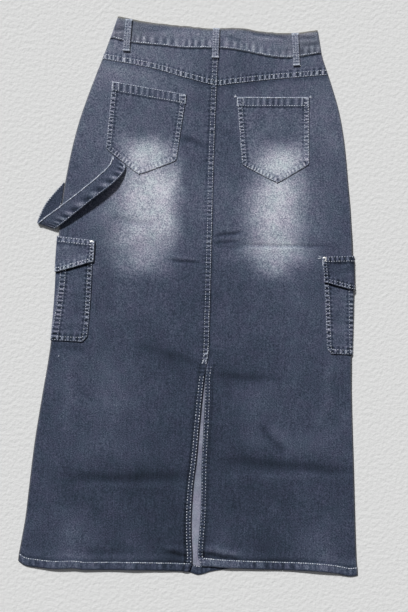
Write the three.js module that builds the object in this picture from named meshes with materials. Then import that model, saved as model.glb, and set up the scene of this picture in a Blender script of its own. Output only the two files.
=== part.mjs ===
import * as THREE from 'three';

// A long denim skirt, laid flat with its back up and its waist towards +Y.
// Millimetres. +Z is up and z = 0 is the surface it lies on. The front panel lies underneath,
// and the back panels, the yoke, the pockets and the straps lie on it in the order they are sewn.

// Cloth and seams
const CLOTH = 1.2;
const FOLDED_CLOTH = 2.4;
const STRAP_CLOTH = 2;
const GAP = 0.3;
const PLY = CLOTH + GAP;
const HEM_HEIGHT = 15;
const HEM_RISE = 1.1;
const FELL_WIDTH = 10.5;
const FELL_RISE = 0.8;
const EDGE_ROLL = 1.2;
const EDGE_DROP = 0.45;
const ROUND_OFF = 5;

// How the two layers lie on each other
const LOFT = 2.2;
const LOFT_AT_WAIST = 0.9;
const LOFT_REACH = 60;

// The body's two side lines, from hem to waist
const SIDES = [
  { y: -492, left: -299.0, right: 296.5 },
  { y: -468, left: -298.8, right: 295.5 },
  { y: -440, left: -295.5, right: 292.2 },
  { y: -400, left: -290.5, right: 288.6 },
  { y: -355, left: -287.5, right: 285.0 },
  { y: -270, left: -281.5, right: 278.2 },
  { y: -186, left: -272.4, right: 271.3 },
  { y: -101, left: -262.6, right: 265.6 },
  { y: -17, left: -258.8, right: 262.8 },
  { y: 67, left: -258.4, right: 258.6 },
  { y: 157, left: -255.0, right: 251.2 },
  { y: 215, left: -248.2, right: 243.2 },
  { y: 257, left: -241.3, right: 237.4 },
  { y: 300, left: -232.0, right: 230.0 },
  { y: 342, left: -219.8, right: 219.8 },
  { y: 385, left: -205.9, right: 204.8 },
  { y: 407, left: -198.3, right: 196.2 },
  { y: 435, left: -189.3, right: 185.6 },
  { y: 484, left: -174.5, right: 174.6 },
];

// The centre back: where the left panel's lap ends and where the right panel begins.
// Below y = -134 they part into the slit.
const CENTRE_BACK = [
  { y: -480, left: -0.5, right: 27.0 },
  { y: -468, left: 4.2, right: 21.5 },
  { y: -450, left: 4.4, right: 14.2 },
  { y: -415, left: 0.9, right: 14.6 },
  { y: -372, left: -0.7, right: 15.2 },
  { y: -328, left: 0.0, right: 13.8 },
  { y: -284, left: 3.2, right: 12.4 },
  { y: -222, left: 5.4, right: 12.6 },
  { y: -183, left: 7.2, right: 12.4 },
  { y: -134, left: 10.2, right: 11.2 },
  { y: -100, left: 15.0, right: 15.3 },
  { y: -60, left: 14.6, right: 14.9 },
  { y: 102, left: 10.7, right: 11.0 },
  { y: 242, left: 6.9, right: 7.2 },
  { y: 376, left: 5.1, right: 5.4 },
  { y: 450, left: 4.7, right: 5.0 },
];
const SLIT_TOP = -112;

// Cross seams and hems, from left to right
const HEM_LEFT = [
  { x: -298.8, y: -477.0 },
  { x: -288.0, y: -483.6 },
  { x: -268.0, y: -486.0 },
  { x: -234.0, y: -487.4 },
  { x: -202.0, y: -484.6 },
  { x: -183.0, y: -486.0 },
  { x: -122.0, y: -483.0 },
  { x: -47.0, y: -480.4 },
  { x: 0.0, y: -479.4 },
];
const HEM_RIGHT = [
  { x: 22.0, y: -468.6 },
  { x: 72.0, y: -469.6 },
  { x: 122.0, y: -469.3 },
  { x: 223.0, y: -467.4 },
  { x: 257.0, y: -469.4 },
  { x: 282.0, y: -473.2 },
  { x: 295.6, y: -471.0 },
];
const FRONT_HEM = [
  { x: -298.8, y: -474.0 },
  { x: -200.0, y: -481.0 },
  { x: -60.0, y: -479.0 },
  { x: 2.0, y: -481.0 },
  { x: 17.0, y: -484.3 },
  { x: 40.0, y: -477.0 },
  { x: 75.0, y: -470.6 },
  { x: 107.0, y: -467.0 },
  { x: 160.0, y: -465.5 },
  { x: 295.6, y: -466.0 },
];
const YOKE_SEAM = [
  { x: -199.0, y: 408.0 },
  { x: -107.0, y: 395.3 },
  { x: -50.0, y: 381.9 },
  { x: 3.0, y: 371.3 },
  { x: 26.0, y: 374.6 },
  { x: 83.0, y: 384.4 },
  { x: 144.0, y: 393.0 },
  { x: 197.0, y: 400.2 },
];
const WAIST_SEAM = [
  { x: -186.0, y: 446.2 },
  { x: -146.0, y: 439.0 },
  { x: -95.0, y: 436.8 },
  { x: -48.0, y: 434.6 },
  { x: 16.0, y: 436.6 },
  { x: 58.0, y: 433.0 },
  { x: 101.0, y: 427.0 },
  { x: 134.0, y: 427.6 },
  { x: 185.0, y: 438.4 },
];
const WAIST_TOP = [
  { x: -175.0, y: 484.0 },
  { x: -117.0, y: 476.8 },
  { x: -55.0, y: 472.8 },
  { x: -5.0, y: 470.7 },
  { x: 37.0, y: 474.2 },
  { x: 85.0, y: 470.4 },
  { x: 132.0, y: 470.6 },
  { x: 175.0, y: 478.4 },
];

// The largest folds of the back: middle, direction in degrees, half length, half width, height
const FOLDS = [
  { x: 165, y: -294, turn: -3, length: 125, width: 26, height: -1.3 },
  { x: 185, y: -250, turn: -3, length: 90, width: 24, height: 1.2 },
  { x: -115, y: -322, turn: 3, length: 115, width: 26, height: -1.2 },
  { x: -130, y: -280, turn: 4, length: 90, width: 26, height: 1.3 },
  { x: -60, y: -106, turn: -12, length: 60, width: 22, height: -1.1 },
  { x: 85, y: -135, turn: -2, length: 65, width: 22, height: -1.0 },
  { x: 135, y: -243, turn: -45, length: 34, width: 18, height: -0.9 },
  { x: 120, y: 96, turn: 3, length: 75, width: 16, height: -1.1 },
  { x: -80, y: 84, turn: 6, length: 60, width: 20, height: -0.8 },
  { x: 110, y: -190, turn: 80, length: 70, width: 34, height: 1.2 },
  { x: -150, y: -190, turn: 86, length: 80, width: 36, height: 1.2 },
  { x: -205, y: -455, turn: 84, length: 62, width: 30, height: 2.2 },
  { x: -100, y: -462, turn: 92, length: 56, width: 26, height: 1.6 },
  { x: -26, y: -466, turn: 88, length: 44, width: 17, height: -1.1 },
  { x: 62, y: -452, turn: 96, length: 58, width: 24, height: 1.9 },
  { x: 150, y: -452, turn: 90, length: 56, width: 28, height: -1.1 },
  { x: 232, y: -448, turn: 95, length: 66, width: 30, height: 2.2 },
];

// Waistband: one folded strip round the waist, lapped and buttoned at the centre front
const WAIST_GAP = 0.9;
const LAP_HALF = 20;
const LAP_SPREAD = 78;
const BUTTON_RADIUS = 8.5;
const BUTTON_THICK = 1.5;
const WAIST_REACH = 115;

// Back pockets, corner by corner
const BACK_POCKETS = {
  back_pocket_left: {
    topLeft: [-178.5, 370.6],
    topRight: [-46.9, 354.0],
    lowLeft: [-183.7, 251.7],
    foot: [-123.1, 208.6],
    lowRight: [-58.8, 236.9],
  },
  back_pocket_right: {
    topLeft: [40.2, 354.4],
    topRight: [167.2, 360.5],
    lowLeft: [55.6, 236.0],
    foot: [119.6, 206.5],
    lowRight: [173.4, 242.2],
  },
};
const POCKET_HEM = 17;
const POCKET_PUFF = 0.8;
const POCKET_REACH = 5;

// Belt loops: lower end, upper end
const LOOP_WIDTH = 12;
const BELT_LOOPS = {
  belt_loop_left: { low: [-156.4, 423.5], high: [-154.8, 480.2] },
  belt_loop_centre: { low: [-0.6, 419.0], high: [-1.2, 470.9] },
  belt_loop_right: { low: [142.3, 413.5], high: [136.2, 470.6] },
};
const LOOP_PUFF = 1.2;
const LOOP_FREE = 0.24;
const LOOP_REACH = 2.5;

// Cargo pockets and flaps, wrapped round the side seams. The distances are from the side line.
const CARGO = {
  left: {
    over: 63,
    overLow: 63,
    under: 40,
    top: 84,
    bottom: -88,
    flapTop: 95,
    flapTopOver: 91,
    flapOverLow: 63,
    flapSide: 53,
    flapPoint: 32,
    point: 2,
  },
  right: {
    over: 53,
    overLow: 44,
    under: 52,
    top: 77,
    bottom: -86,
    flapTop: 87.5,
    flapTopOver: 83.5,
    flapOverLow: 49.5,
    flapSide: 39,
    flapPoint: 28,
    point: 2,
  },
};
const CARGO_CORNER = 12;
const FLAP_MARGIN = 1.5;
const WRAP_REACH = 6;
const RIVET_RADIUS = 4.5;
const RIVET_HEIGHT = 1.5;
const RIVET_INSET = 5.5;

// The hammer loop: its outer and inner edges and the height of its middle. It leaves the left
// back pocket, stands off the cloth, folds over beyond the side line and returns to the side seam.
const HAMMER_LOOP = [
  { outerX: -171.8, outerY: 242.0, innerX: -146.0, innerY: 223.6, z: 6.6 },
  { outerX: -175.5, outerY: 224.0, innerX: -150.5, innerY: 210.0, z: 10.6 },
  { outerX: -194.5, outerY: 202.0, innerX: -167.5, innerY: 189.5, z: 16.6 },
  { outerX: -225.5, outerY: 173.4, innerX: -200.5, innerY: 161.0, z: 18.6 },
  { outerX: -257.0, outerY: 146.8, innerX: -231.0, innerY: 134.0, z: 16.0 },
  { outerX: -283.0, outerY: 126.5, innerX: -254.0, innerY: 114.0, z: 11.8 },
  { outerX: -293.5, outerY: 118.0, innerX: -261.5, innerY: 109.5, z: 8.0 },
  { outerX: -296.5, outerY: 116.5, innerX: -264.5, innerY: 107.8, z: 4.6 },
  { outerX: -296.0, outerY: 120.5, innerX: -264.5, innerY: 110.5, z: 2.1 },
  { outerX: -292.0, outerY: 133.0, innerX: -262.5, innerY: 118.0, z: 1.2 },
  { outerX: -283.5, outerY: 151.5, innerX: -260.5, innerY: 132.0, z: 1.1 },
  { outerX: -268.5, outerY: 172.0, innerX: -258.5, innerY: 144.0, z: 1.2 },
  { outerX: -253.6, outerY: 190.0, innerX: -256.2, innerY: 153.0, z: 1.4 },
];
const HAMMER_ROWS = 30;

// Colours
const DENIM = 0x4a5061;
const DENIM_WORN = 0x5c6374;
const DENIM_DARK = 0x3f4553;
const WRONG_SIDE = 0x7d8392;
const STEEL = 0xc9ccd2;

const model = new THREE.Group();

function mix(a, b, t) {
  return a + (b - a) * t;
}

function step(low, high, at) {
  const t = Math.min(Math.max((at - low) / (high - low), 0), 1);
  return t * t * (3 - 2 * t);
}

// A smooth curve through a table's rows: column `to`, where column `from` is `at`
function read(rows, from, to, at) {
  let i = 0;
  while (i < rows.length - 2 && at > rows[i + 1][from]) {
    i += 1;
  }
  const a = rows[i];
  const b = rows[i + 1];
  const before = rows[Math.max(i - 1, 0)];
  const after = rows[Math.min(i + 2, rows.length - 1)];
  const span = b[from] - a[from];
  const t = (at - a[from]) / span;
  const slopeA = ((b[to] - before[to]) / (b[from] - before[from])) * span;
  const slopeB = ((after[to] - a[to]) / (after[from] - a[from])) * span;
  const t2 = t * t;
  const t3 = t2 * t;
  return (2 * t3 - 3 * t2 + 1) * a[to] + (t3 - 2 * t2 + t) * slopeA
    + (3 * t2 - 2 * t3) * b[to] + (t3 - t2) * slopeB;
}

// A closed wall of cloth: a grid of outer points, a grid of inner points, and the rim between them
function wall(columns, rows, outer, inner) {
  const positions = [];
  for (const place of [outer, inner]) {
    for (const row of rows) {
      for (const column of columns) {
        positions.push(...place(column, row));
      }
    }
  }
  const wide = columns.length;
  const layer = wide * rows.length;
  const faces = [];
  const quad = (a, b, c, d) => faces.push(a, b, c, a, c, d);
  for (let j = 0; j < rows.length - 1; j += 1) {
    for (let i = 0; i < wide - 1; i += 1) {
      const k = j * wide + i;
      quad(k, k + 1, k + wide + 1, k + wide);
      quad(layer + k, layer + k + wide, layer + k + wide + 1, layer + k + 1);
    }
    const first = j * wide;
    const last = first + wide - 1;
    quad(first, first + wide, layer + first + wide, layer + first);
    quad(last, layer + last, layer + last + wide, last + wide);
  }
  for (let i = 0; i < wide - 1; i += 1) {
    const top = (rows.length - 1) * wide + i;
    quad(i, layer + i, layer + i + 1, i + 1);
    quad(top, top + 1, layer + top + 1, layer + top);
  }
  if (signedVolume(positions, faces) < 0) {
    faces.reverse();
  }
  const geometry = new THREE.BufferGeometry();
  geometry.setAttribute('position', new THREE.Float32BufferAttribute(positions, 3));
  geometry.setIndex(faces);
  return geometry;
}

function signedVolume(positions, faces) {
  const corner = (n) => new THREE.Vector3().fromArray(positions, 3 * faces[n]);
  let volume = 0;
  for (let n = 0; n < faces.length; n += 3) {
    volume += corner(n).dot(corner(n + 1).cross(corner(n + 2)));
  }
  return volume / 6;
}

function addPiece(name, geometry, color, roughness = 0.92, metalness = 0) {
  const shaded = geometry.index ? geometry.toNonIndexed() : geometry;
  shaded.computeVertexNormals();
  const piece = new THREE.Mesh(shaded, new THREE.MeshStandardMaterial({ color, roughness, metalness }));
  piece.name = name;
  model.add(piece);
  return piece;
}

// Stations across or along a panel: some at fixed distances from its low or high edge, the rest
// spread between them. `rise` is the share of a raised band that the outer point gets.
function stations(lowBand, fieldCount, highBand, spread = (t) => t) {
  const lowEnd = lowBand.length ? lowBand[lowBand.length - 1].low : 0;
  const highEnd = highBand.length ? highBand[0].high : 0;
  const field = [];
  for (let n = 1; n <= fieldCount; n += 1) {
    field.push({ share: spread(n / (fieldCount + 1)), rise: 0, lowEnd, highEnd });
  }
  return [...lowBand, ...field, ...highBand];
}

function stationAt(station, low, high) {
  const sense = Math.sign(high - low);
  if (station.low !== undefined) {
    return low + sense * station.low;
  }
  if (station.high !== undefined) {
    return high - sense * station.high;
  }
  return mix(low + sense * station.lowEnd, high - sense * station.highEnd, station.share);
}

// Heights. Everything under the front panel lifts it, and everything above follows.
function sideLine(side, y) {
  return read(SIDES, 'y', side, y);
}

// Distance in from a side line, for one side of the skirt
function inFromSide(side, x, y) {
  return side === 'left' ? x - sideLine('left', y) : sideLine('right', y) - x;
}

function flapLow(cargo, inward) {
  const slope = (cargo.flapSide - cargo.flapPoint) / (cargo.over - cargo.point);
  return cargo.flapPoint + Math.abs(inward - cargo.point) * slope;
}

// A flap's upper edge drops towards its corner on the back
function flapHigh(cargo, inward) {
  const share = Math.min(Math.max(inward / cargo.over, 0), 1);
  return mix(cargo.flapTop, cargo.flapTopOver, share);
}

function liftUnder(x, y, wanted, margin, ramp) {
  let lift = 0;
  for (const side of ['left', 'right']) {
    const cargo = CARGO[side];
    const inward = inFromSide(side, x, y);
    const low = wanted === 'flap' ? cargo.flapPoint : cargo.bottom;
    const high = wanted === 'flap' ? cargo.flapTop : cargo.top;
    const across = 1 - step(cargo.under + margin, cargo.under + margin + ramp, inward);
    const up = step(low - margin - ramp, low - margin, y);
    const down = 1 - step(high + margin, high + margin + ramp, y);
    lift = Math.max(lift, PLY * across * up * down);
  }
  return lift;
}

function nearWaist(x, y) {
  const seam = read(WAIST_SEAM, 'x', 'y', x);
  return step(seam - WAIST_REACH, seam, y);
}

// How much of the front closure's thickness lies under a point
function lapShare(x) {
  return 1 - step(LAP_HALF + 2, LAP_SPREAD, Math.abs(x));
}
const BUTTON_ROOM = BUTTON_THICK + GAP;
const LAP_RISE = BUTTON_ROOM + FOLDED_CLOTH + GAP;

const LIFT_MARGIN = 26;
const LIFT_RAMP = 42;
function cargoLift(x, y) {
  const overFlap = liftUnder(x, y, 'flap', LIFT_MARGIN, LIFT_RAMP);
  return overFlap + liftUnder(x, y, 'pocket', LIFT_MARGIN, LIFT_RAMP);
}

function frontBottom(x, y) {
  const atSeam = (FOLDED_CLOTH - CLOTH) / 2 + LAP_RISE * 0.5 * lapShare(x);
  return cargoLift(x, y) + nearWaist(x, y) * atSeam;
}

function foldHeight(x, y) {
  let height = 0;
  for (const fold of FOLDS) {
    const turn = THREE.MathUtils.degToRad(fold.turn);
    const along = ((x - fold.x) * Math.cos(turn) + (y - fold.y) * Math.sin(turn)) / fold.length;
    const across = ((y - fold.y) * Math.cos(turn) - (x - fold.x) * Math.sin(turn)) / fold.width;
    height += fold.height * Math.exp(-(along ** 4) - across ** 2);
  }
  return height;
}

const BAND_BACK_BOTTOM = FOLDED_CLOTH + WAIST_GAP;
function backBottom(x, y) {
  const waist = nearWaist(x, y);
  const inward = Math.min(inFromSide('left', x, y), inFromSide('right', x, y));
  const away = step(0, LOFT_REACH, inward);
  const loft = mix(LOFT, LOFT_AT_WAIST, waist) * away;
  const atSeam = BAND_BACK_BOTTOM + LAP_RISE * lapShare(x) - PLY;
  const lift = cargoLift(x, y) + waist * atSeam;
  return PLY + lift + Math.max(loft + foldHeight(x, y) * away, 0);
}

function backTop(x, y) {
  return backBottom(x, y) + CLOTH;
}

// The highest point of what is already laid, within `reach` of a place. Each piece that lies on
// others starts from this height.
const ABOVE = 100;
const DOWN = new THREE.Vector3(0, 0, -1);
const CROSS = [[0, 0], [1, 0], [-1, 0], [0, 1], [0, -1]];
const STAR = [...CROSS, [0.7, 0.7], [0.7, -0.7], [-0.7, 0.7], [-0.7, -0.7]];
function laidTop(x, y, reach, around = CROSS) {
  let height = 0;
  for (const [dx, dy] of around) {
    const from = new THREE.Vector3(x + dx * reach, y + dy * reach, ABOVE);
    const [hit] = new THREE.Raycaster(from, DOWN).intersectObjects(model.children);
    height = Math.max(height, hit ? hit.point.z : 0);
  }
  return height;
}

// The skirt's two layers share one grid, so that they stay parallel
const SIDE_BAND = [
  { low: 0, rise: 0, drop: 1 },
  { low: ROUND_OFF, rise: 0 },
];
const CENTRE_BAND = [
  { high: FELL_WIDTH + EDGE_ROLL, rise: 0 },
  { high: FELL_WIDTH, rise: 1 },
  { high: EDGE_ROLL, rise: 1 },
  { high: 0, rise: 0.4 },
];
const HEM_BAND = [
  { low: 0, rise: 0.5 },
  { low: EDGE_ROLL, rise: 1 },
  { low: HEM_HEIGHT, rise: 1 },
  { low: HEM_HEIGHT + EDGE_ROLL, rise: 0 },
];
const YOKE_BAND = [
  { low: 0, rise: 0.4 },
  { low: EDGE_ROLL, rise: 1 },
  { low: FELL_WIDTH, rise: 1 },
  { low: FELL_WIDTH + EDGE_ROLL, rise: 0 },
];
const TOP_EDGE = [{ high: 0, rise: 0 }];
const DENSER_AT_SIDE = 1.25;
const ACROSS = stations(SIDE_BAND, 7, CENTRE_BAND, (t) => t ** DENSER_AT_SIDE);
const UP_PANEL = stations(HEM_BAND, 34, TOP_EDGE);
const UP_YOKE = stations(YOKE_BAND, 2, TOP_EDGE);

// A point of one half of the body, between a lower and an upper cross seam. The two seams slope,
// so its place across and its height settle together in a few passes.
const BODY_PASSES = 7;
function bodyPoint(side, column, row, low, high) {
  let x = 0;
  let y = 0;
  for (let pass = 0; pass < BODY_PASSES; pass += 1) {
    x = stationAt(column, sideLine(side, y), read(CENTRE_BACK, 'y', side, y));
    y = stationAt(row, low(x), high(x));
  }
  return [x, y];
}

const hemLine = {
  left: (x) => read(HEM_LEFT, 'x', 'y', x),
  right: (x) => read(HEM_RIGHT, 'x', 'y', x),
};
const yokeLine = (x) => read(YOKE_SEAM, 'x', 'y', x);
const yokeLower = (x) => yokeLine(x) + GAP;
const waistLine = (x) => read(WAIST_SEAM, 'x', 'y', x) - GAP;

function bandRise(side, column, row, y, bottomRise) {
  const onLap = side === 'left' || y < SLIT_TOP ? 1 : 0;
  return Math.max(bottomRise * row.rise, FELL_RISE * onLap * column.rise);
}

function addBodyPiece(name, side, rows, low, high, bottomRise, color) {
  const inner = (column, row) => {
    const [x, y] = bodyPoint(side, column, row, low, high);
    return [x, y, backBottom(x, y)];
  };
  const outer = (column, row) => {
    const [x, y] = bodyPoint(side, column, row, low, high);
    const raised = bandRise(side, column, row, y, bottomRise);
    return [x, y, backTop(x, y) + raised - EDGE_DROP * (column.drop ?? 0)];
  };
  return addPiece(name, wall(ACROSS, rows, outer, inner), color);
}

// The front panel: one piece behind the whole back
function addFront() {
  const leftColumns = ACROSS.map((column) => ({ ...column, side: 'left' }));
  const rightColumns = ACROSS.map((column) => ({ ...column, side: 'right' })).reverse();
  const columns = [...leftColumns.filter(plain), ...rightColumns.filter(plain)];
  const panelRows = UP_PANEL.slice(0, -1).filter(plain).map((row) => ({ row, yoke: false }));
  const yokeRows = UP_YOKE.filter(plain).map((row) => ({ row, yoke: true }));
  const rows = [...panelRows, ...yokeRows];
  const place = (column, { row, yoke }) => {
    const low = yoke ? yokeLower : hemLine[column.side];
    const high = yoke ? waistLine : yokeLine;
    const [x, y] = bodyPoint(column.side, column, row, low, high);
    return [x, row === UP_PANEL[0] ? read(FRONT_HEM, 'x', 'y', x) : y];
  };
  const inner = (column, row) => {
    const [x, y] = place(column, row);
    return [x, y, frontBottom(x, y)];
  };
  const outer = (column, row) => {
    const [x, y] = place(column, row);
    return [x, y, frontBottom(x, y) + CLOTH];
  };
  return addPiece('front_panel', wall(columns, rows, outer, inner), WRONG_SIDE);
}

// Stations that only shape a raised band are left out of the plain front
function plain(station) {
  return station.rise < 1;
}

// Waistband
const BAND_BEND = WAIST_GAP / 2;
const BEND_ANGLES = [-60, -20, 20, 60];
const BAND_HEIGHTS = [0, 0.07, 0.93, 1];
const BAND_SOFT = 0.35;
const SEAM_LEFT = 446;
const SEAM_RIGHT = 438;
const TOP_LEFT = 484;
const TOP_RIGHT = 478;

// The band's columns stand where the front panel's do, so that the seam between them stays even
function seamPlaces() {
  const places = [];
  for (const side of ['left', 'right']) {
    for (const column of ACROSS.filter(plain)) {
      places.push(bodyPoint(side, column, UP_YOKE[UP_YOKE.length - 1], yokeLower, waistLine)[0]);
    }
  }
  return places.sort((a, b) => a - b);
}

function bandColumns() {
  const { left, right } = bandEnds(0);
  const places = seamPlaces().filter((x) => x > left + 1 && x < right - 1);
  const leftward = [...places].reverse();
  const columns = [{ leaf: 'frontLeft', x: LAP_HALF }];
  for (const x of leftward.filter((place) => place < LAP_HALF - 1)) {
    columns.push({ leaf: 'frontLeft', x });
  }
  for (const angle of BEND_ANGLES) {
    columns.push({ leaf: 'bend', side: 'left', angle });
  }
  for (const x of [left, ...places, right]) {
    columns.push({ leaf: 'back', x });
  }
  for (const angle of [...BEND_ANGLES].reverse()) {
    columns.push({ leaf: 'bend', side: 'right', angle });
  }
  for (const x of leftward.filter((place) => place > 1 - LAP_HALF)) {
    columns.push({ leaf: 'frontRight', x });
  }
  columns.push({ leaf: 'frontRight', x: -LAP_HALF });
  return columns;
}

const BEND_RADIUS = BAND_BEND + FOLDED_CLOTH;
function bandEnds(height) {
  const low = { left: sideLine('left', SEAM_LEFT), right: sideLine('right', SEAM_RIGHT) };
  const top = { left: sideLine('left', TOP_LEFT), right: sideLine('right', TOP_RIGHT) };
  return {
    left: mix(low.left, top.left, height) + BEND_RADIUS,
    right: mix(low.right, top.right, height) - BEND_RADIUS,
  };
}

function bandPlace(column, height, isOuter) {
  const low = bandEnds(0);
  const { left, right } = bandEnds(height);
  const soften = height === 0 || height === 1 ? BAND_SOFT : 0;
  const yAt = (x) => mix(read(WAIST_SEAM, 'x', 'y', x), read(WAIST_TOP, 'x', 'y', x), height);
  if (column.leaf === 'bend') {
    const sense = column.side === 'left' ? -1 : 1;
    const middle = column.side === 'left' ? left : right;
    const angle = THREE.MathUtils.degToRad(column.angle);
    const radius = isOuter ? BEND_RADIUS - soften : BAND_BEND + soften;
    const x = middle + sense * radius * Math.cos(angle);
    return [x, yAt(x), BEND_RADIUS + radius * Math.sin(angle)];
  }
  const x = mix(left, right, (column.x - low.left) / (low.right - low.left));
  if (column.leaf === 'back') {
    const bottom = BAND_BACK_BOTTOM + LAP_RISE * lapShare(column.x);
    return [x, yAt(x), isOuter ? bottom + FOLDED_CLOTH - soften : bottom + soften];
  }
  const raised = column.leaf === 'frontLeft' ? BUTTON_ROOM : LAP_RISE;
  const bottom = raised * lapShare(column.x);
  return [x, yAt(x), isOuter ? bottom + soften : bottom + FOLDED_CLOTH - soften];
}

function addWaistband() {
  const outer = (column, height) => bandPlace(column, height, true);
  const inner = (column, height) => bandPlace(column, height, false);
  addPiece('waistband', wall(bandColumns(), BAND_HEIGHTS, outer, inner), DENIM_WORN);
  const profile = [
    new THREE.Vector2(0, 0),
    new THREE.Vector2(BUTTON_RADIUS - 0.8, 0),
    new THREE.Vector2(BUTTON_RADIUS, 0.5),
    new THREE.Vector2(BUTTON_RADIUS, BUTTON_THICK),
    new THREE.Vector2(0, BUTTON_THICK),
  ];
  const disc = new THREE.LatheGeometry(profile, 24);
  disc.rotateX(Math.PI / 2);
  const button = addPiece('waist_button', disc, STEEL, 0.35, 1);
  const bandMiddle = mix(read(WAIST_SEAM, 'x', 'y', 0), read(WAIST_TOP, 'x', 'y', 0), 0.5);
  button.position.set(0, bandMiddle, 0);
}

// Back pockets, with a folded hem along the mouth
function addBackPocket(name, corners) {
  const footShare = 0.5;
  const edge = (u) => (u < footShare
    ? [corners.lowLeft, corners.foot, u / footShare]
    : [corners.foot, corners.lowRight, (u - footShare) / footShare]);
  const flat = (u, row) => {
    const [a, b, t] = edge(u);
    const low = [mix(a[0], b[0], t), mix(a[1], b[1], t)];
    const high = [
      mix(corners.topLeft[0], corners.topRight[0], u),
      mix(corners.topLeft[1], corners.topRight[1], u),
    ];
    const length = Math.hypot(high[0] - low[0], high[1] - low[1]);
    const v = stationAt(row, 0, length) / length;
    return [mix(low[0], high[0], v), mix(low[1], high[1], v), v];
  };
  const columns = [0, 0.02, 0.12, 0.25, 0.38, 0.5, 0.62, 0.75, 0.88, 0.98, 1];
  const hem = [
    { high: POCKET_HEM, rise: 0 },
    { high: POCKET_HEM - EDGE_ROLL, rise: 1 },
    { high: EDGE_ROLL, rise: 1 },
    { high: 0, rise: 0.5 },
  ];
  const rows = stations([{ low: 0, rise: 0, drop: 1 }, { low: 2, rise: 0 }], 7, hem);
  const puff = (u, v) => POCKET_PUFF * Math.sin(Math.PI * u) * Math.sin(Math.PI * Math.min(v * 1.1, 1));
  const inner = (u, row) => {
    const [x, y, v] = flat(u, row);
    return [x, y, laidTop(x, y, POCKET_REACH) + GAP + puff(u, v)];
  };
  const outer = (u, row) => {
    const [x, y, height] = inner(u, row);
    const drop = u === 0 || u === 1 ? EDGE_DROP : EDGE_DROP * (row.drop ?? 0);
    return [x, y, height + CLOTH + row.rise * HEM_RISE - drop];
  };
  addPiece(name, wall(columns, rows, outer, inner), DENIM_WORN);
}

// Belt loops, over the waistband and down on to the yoke
function addBeltLoop(name, { low, high }) {
  const rows = [0, 0.08, 0.16, 0.24, 0.34, 0.5, 0.66, 0.82, 0.95, 1];
  const columns = [-0.5, -0.36, 0.36, 0.5];
  const middle = (t) => [mix(low[0], high[0], t), mix(low[1], high[1], t)];
  const under = (t) => {
    const [x, y] = middle(t);
    const free = Math.max((t - LOOP_FREE) / (1 - LOOP_FREE), 0);
    const puff = LOOP_PUFF * Math.sin(Math.PI * free);
    return Math.max(laidTop(x, y, LOOP_REACH), laidTop(x, y, LOOP_WIDTH / 2)) + GAP + puff;
  };
  const place = (across, t, top) => {
    const [x, y] = middle(t);
    const slant = (high[0] - low[0]) / (high[1] - low[1]);
    const soften = top && Math.abs(across) === 0.5 ? EDGE_DROP : 0;
    const height = under(t) + (top ? STRAP_CLOTH : 0) - soften;
    return [x + across * LOOP_WIDTH, y - across * LOOP_WIDTH * slant, height];
  };
  const outer = (across, t) => place(across, t, true);
  const inner = (across, t) => place(across, t, false);
  addPiece(name, wall(columns, rows, outer, inner), DENIM_WORN);
}

// Cargo pockets and flaps. A column runs from the edge on the back, round the side seam and
// on to the edge on the front.
function wrapColumns(over, under) {
  const columns = [{ leaf: 'over', share: 0 }];
  for (const share of [0.03, 0.22, 0.42, 0.62, 0.82, 1]) {
    columns.push({ leaf: 'over', share });
  }
  for (const part of ['shoulder', 'side', 'heel']) {
    columns.push({ leaf: part });
  }
  for (const share of [0.2, 0.6, 1]) {
    columns.push({ leaf: 'under', share });
  }
  return columns.map((column) => ({ ...column, over, under }));
}

// A point of a wrapped piece that lies `clear` off the body and is CLOTH thick
function wrapPoint(side, column, y, over, under, clear, isOuter, floor) {
  const sense = side === 'left' ? 1 : -1;
  const line = sideLine(side, y);
  const off = clear + (isOuter ? CLOTH : 0);
  if (column.leaf === 'over') {
    const x = line + sense * mix(over, ROUND_OFF, column.share);
    const soften = isOuter && column.share === 0 ? EDGE_DROP : 0;
    return [x, y, laidTop(x, y, WRAP_REACH, STAR) + GAP + (isOuter ? CLOTH : 0) - soften];
  }
  if (column.leaf === 'under') {
    const x = line + sense * mix(1, under, column.share);
    return [x, y, floor(x, y) + (isOuter ? 0 : CLOTH)];
  }
  const high = laidTop(line + sense, y, 1) - GAP;
  if (column.leaf === 'side') {
    return [line - sense * off, y, (high + frontBottom(line, y)) / 2];
  }
  const lean = isOuter ? 0.5 : 1;
  if (column.leaf === 'shoulder') {
    return [line - sense * off * lean, y, high + off * (isOuter ? 0.85 : 1)];
  }
  const bottom = floor(line, y);
  return [line - sense * off * lean, y, isOuter ? bottom + 0.3 : bottom + CLOTH];
}

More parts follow.
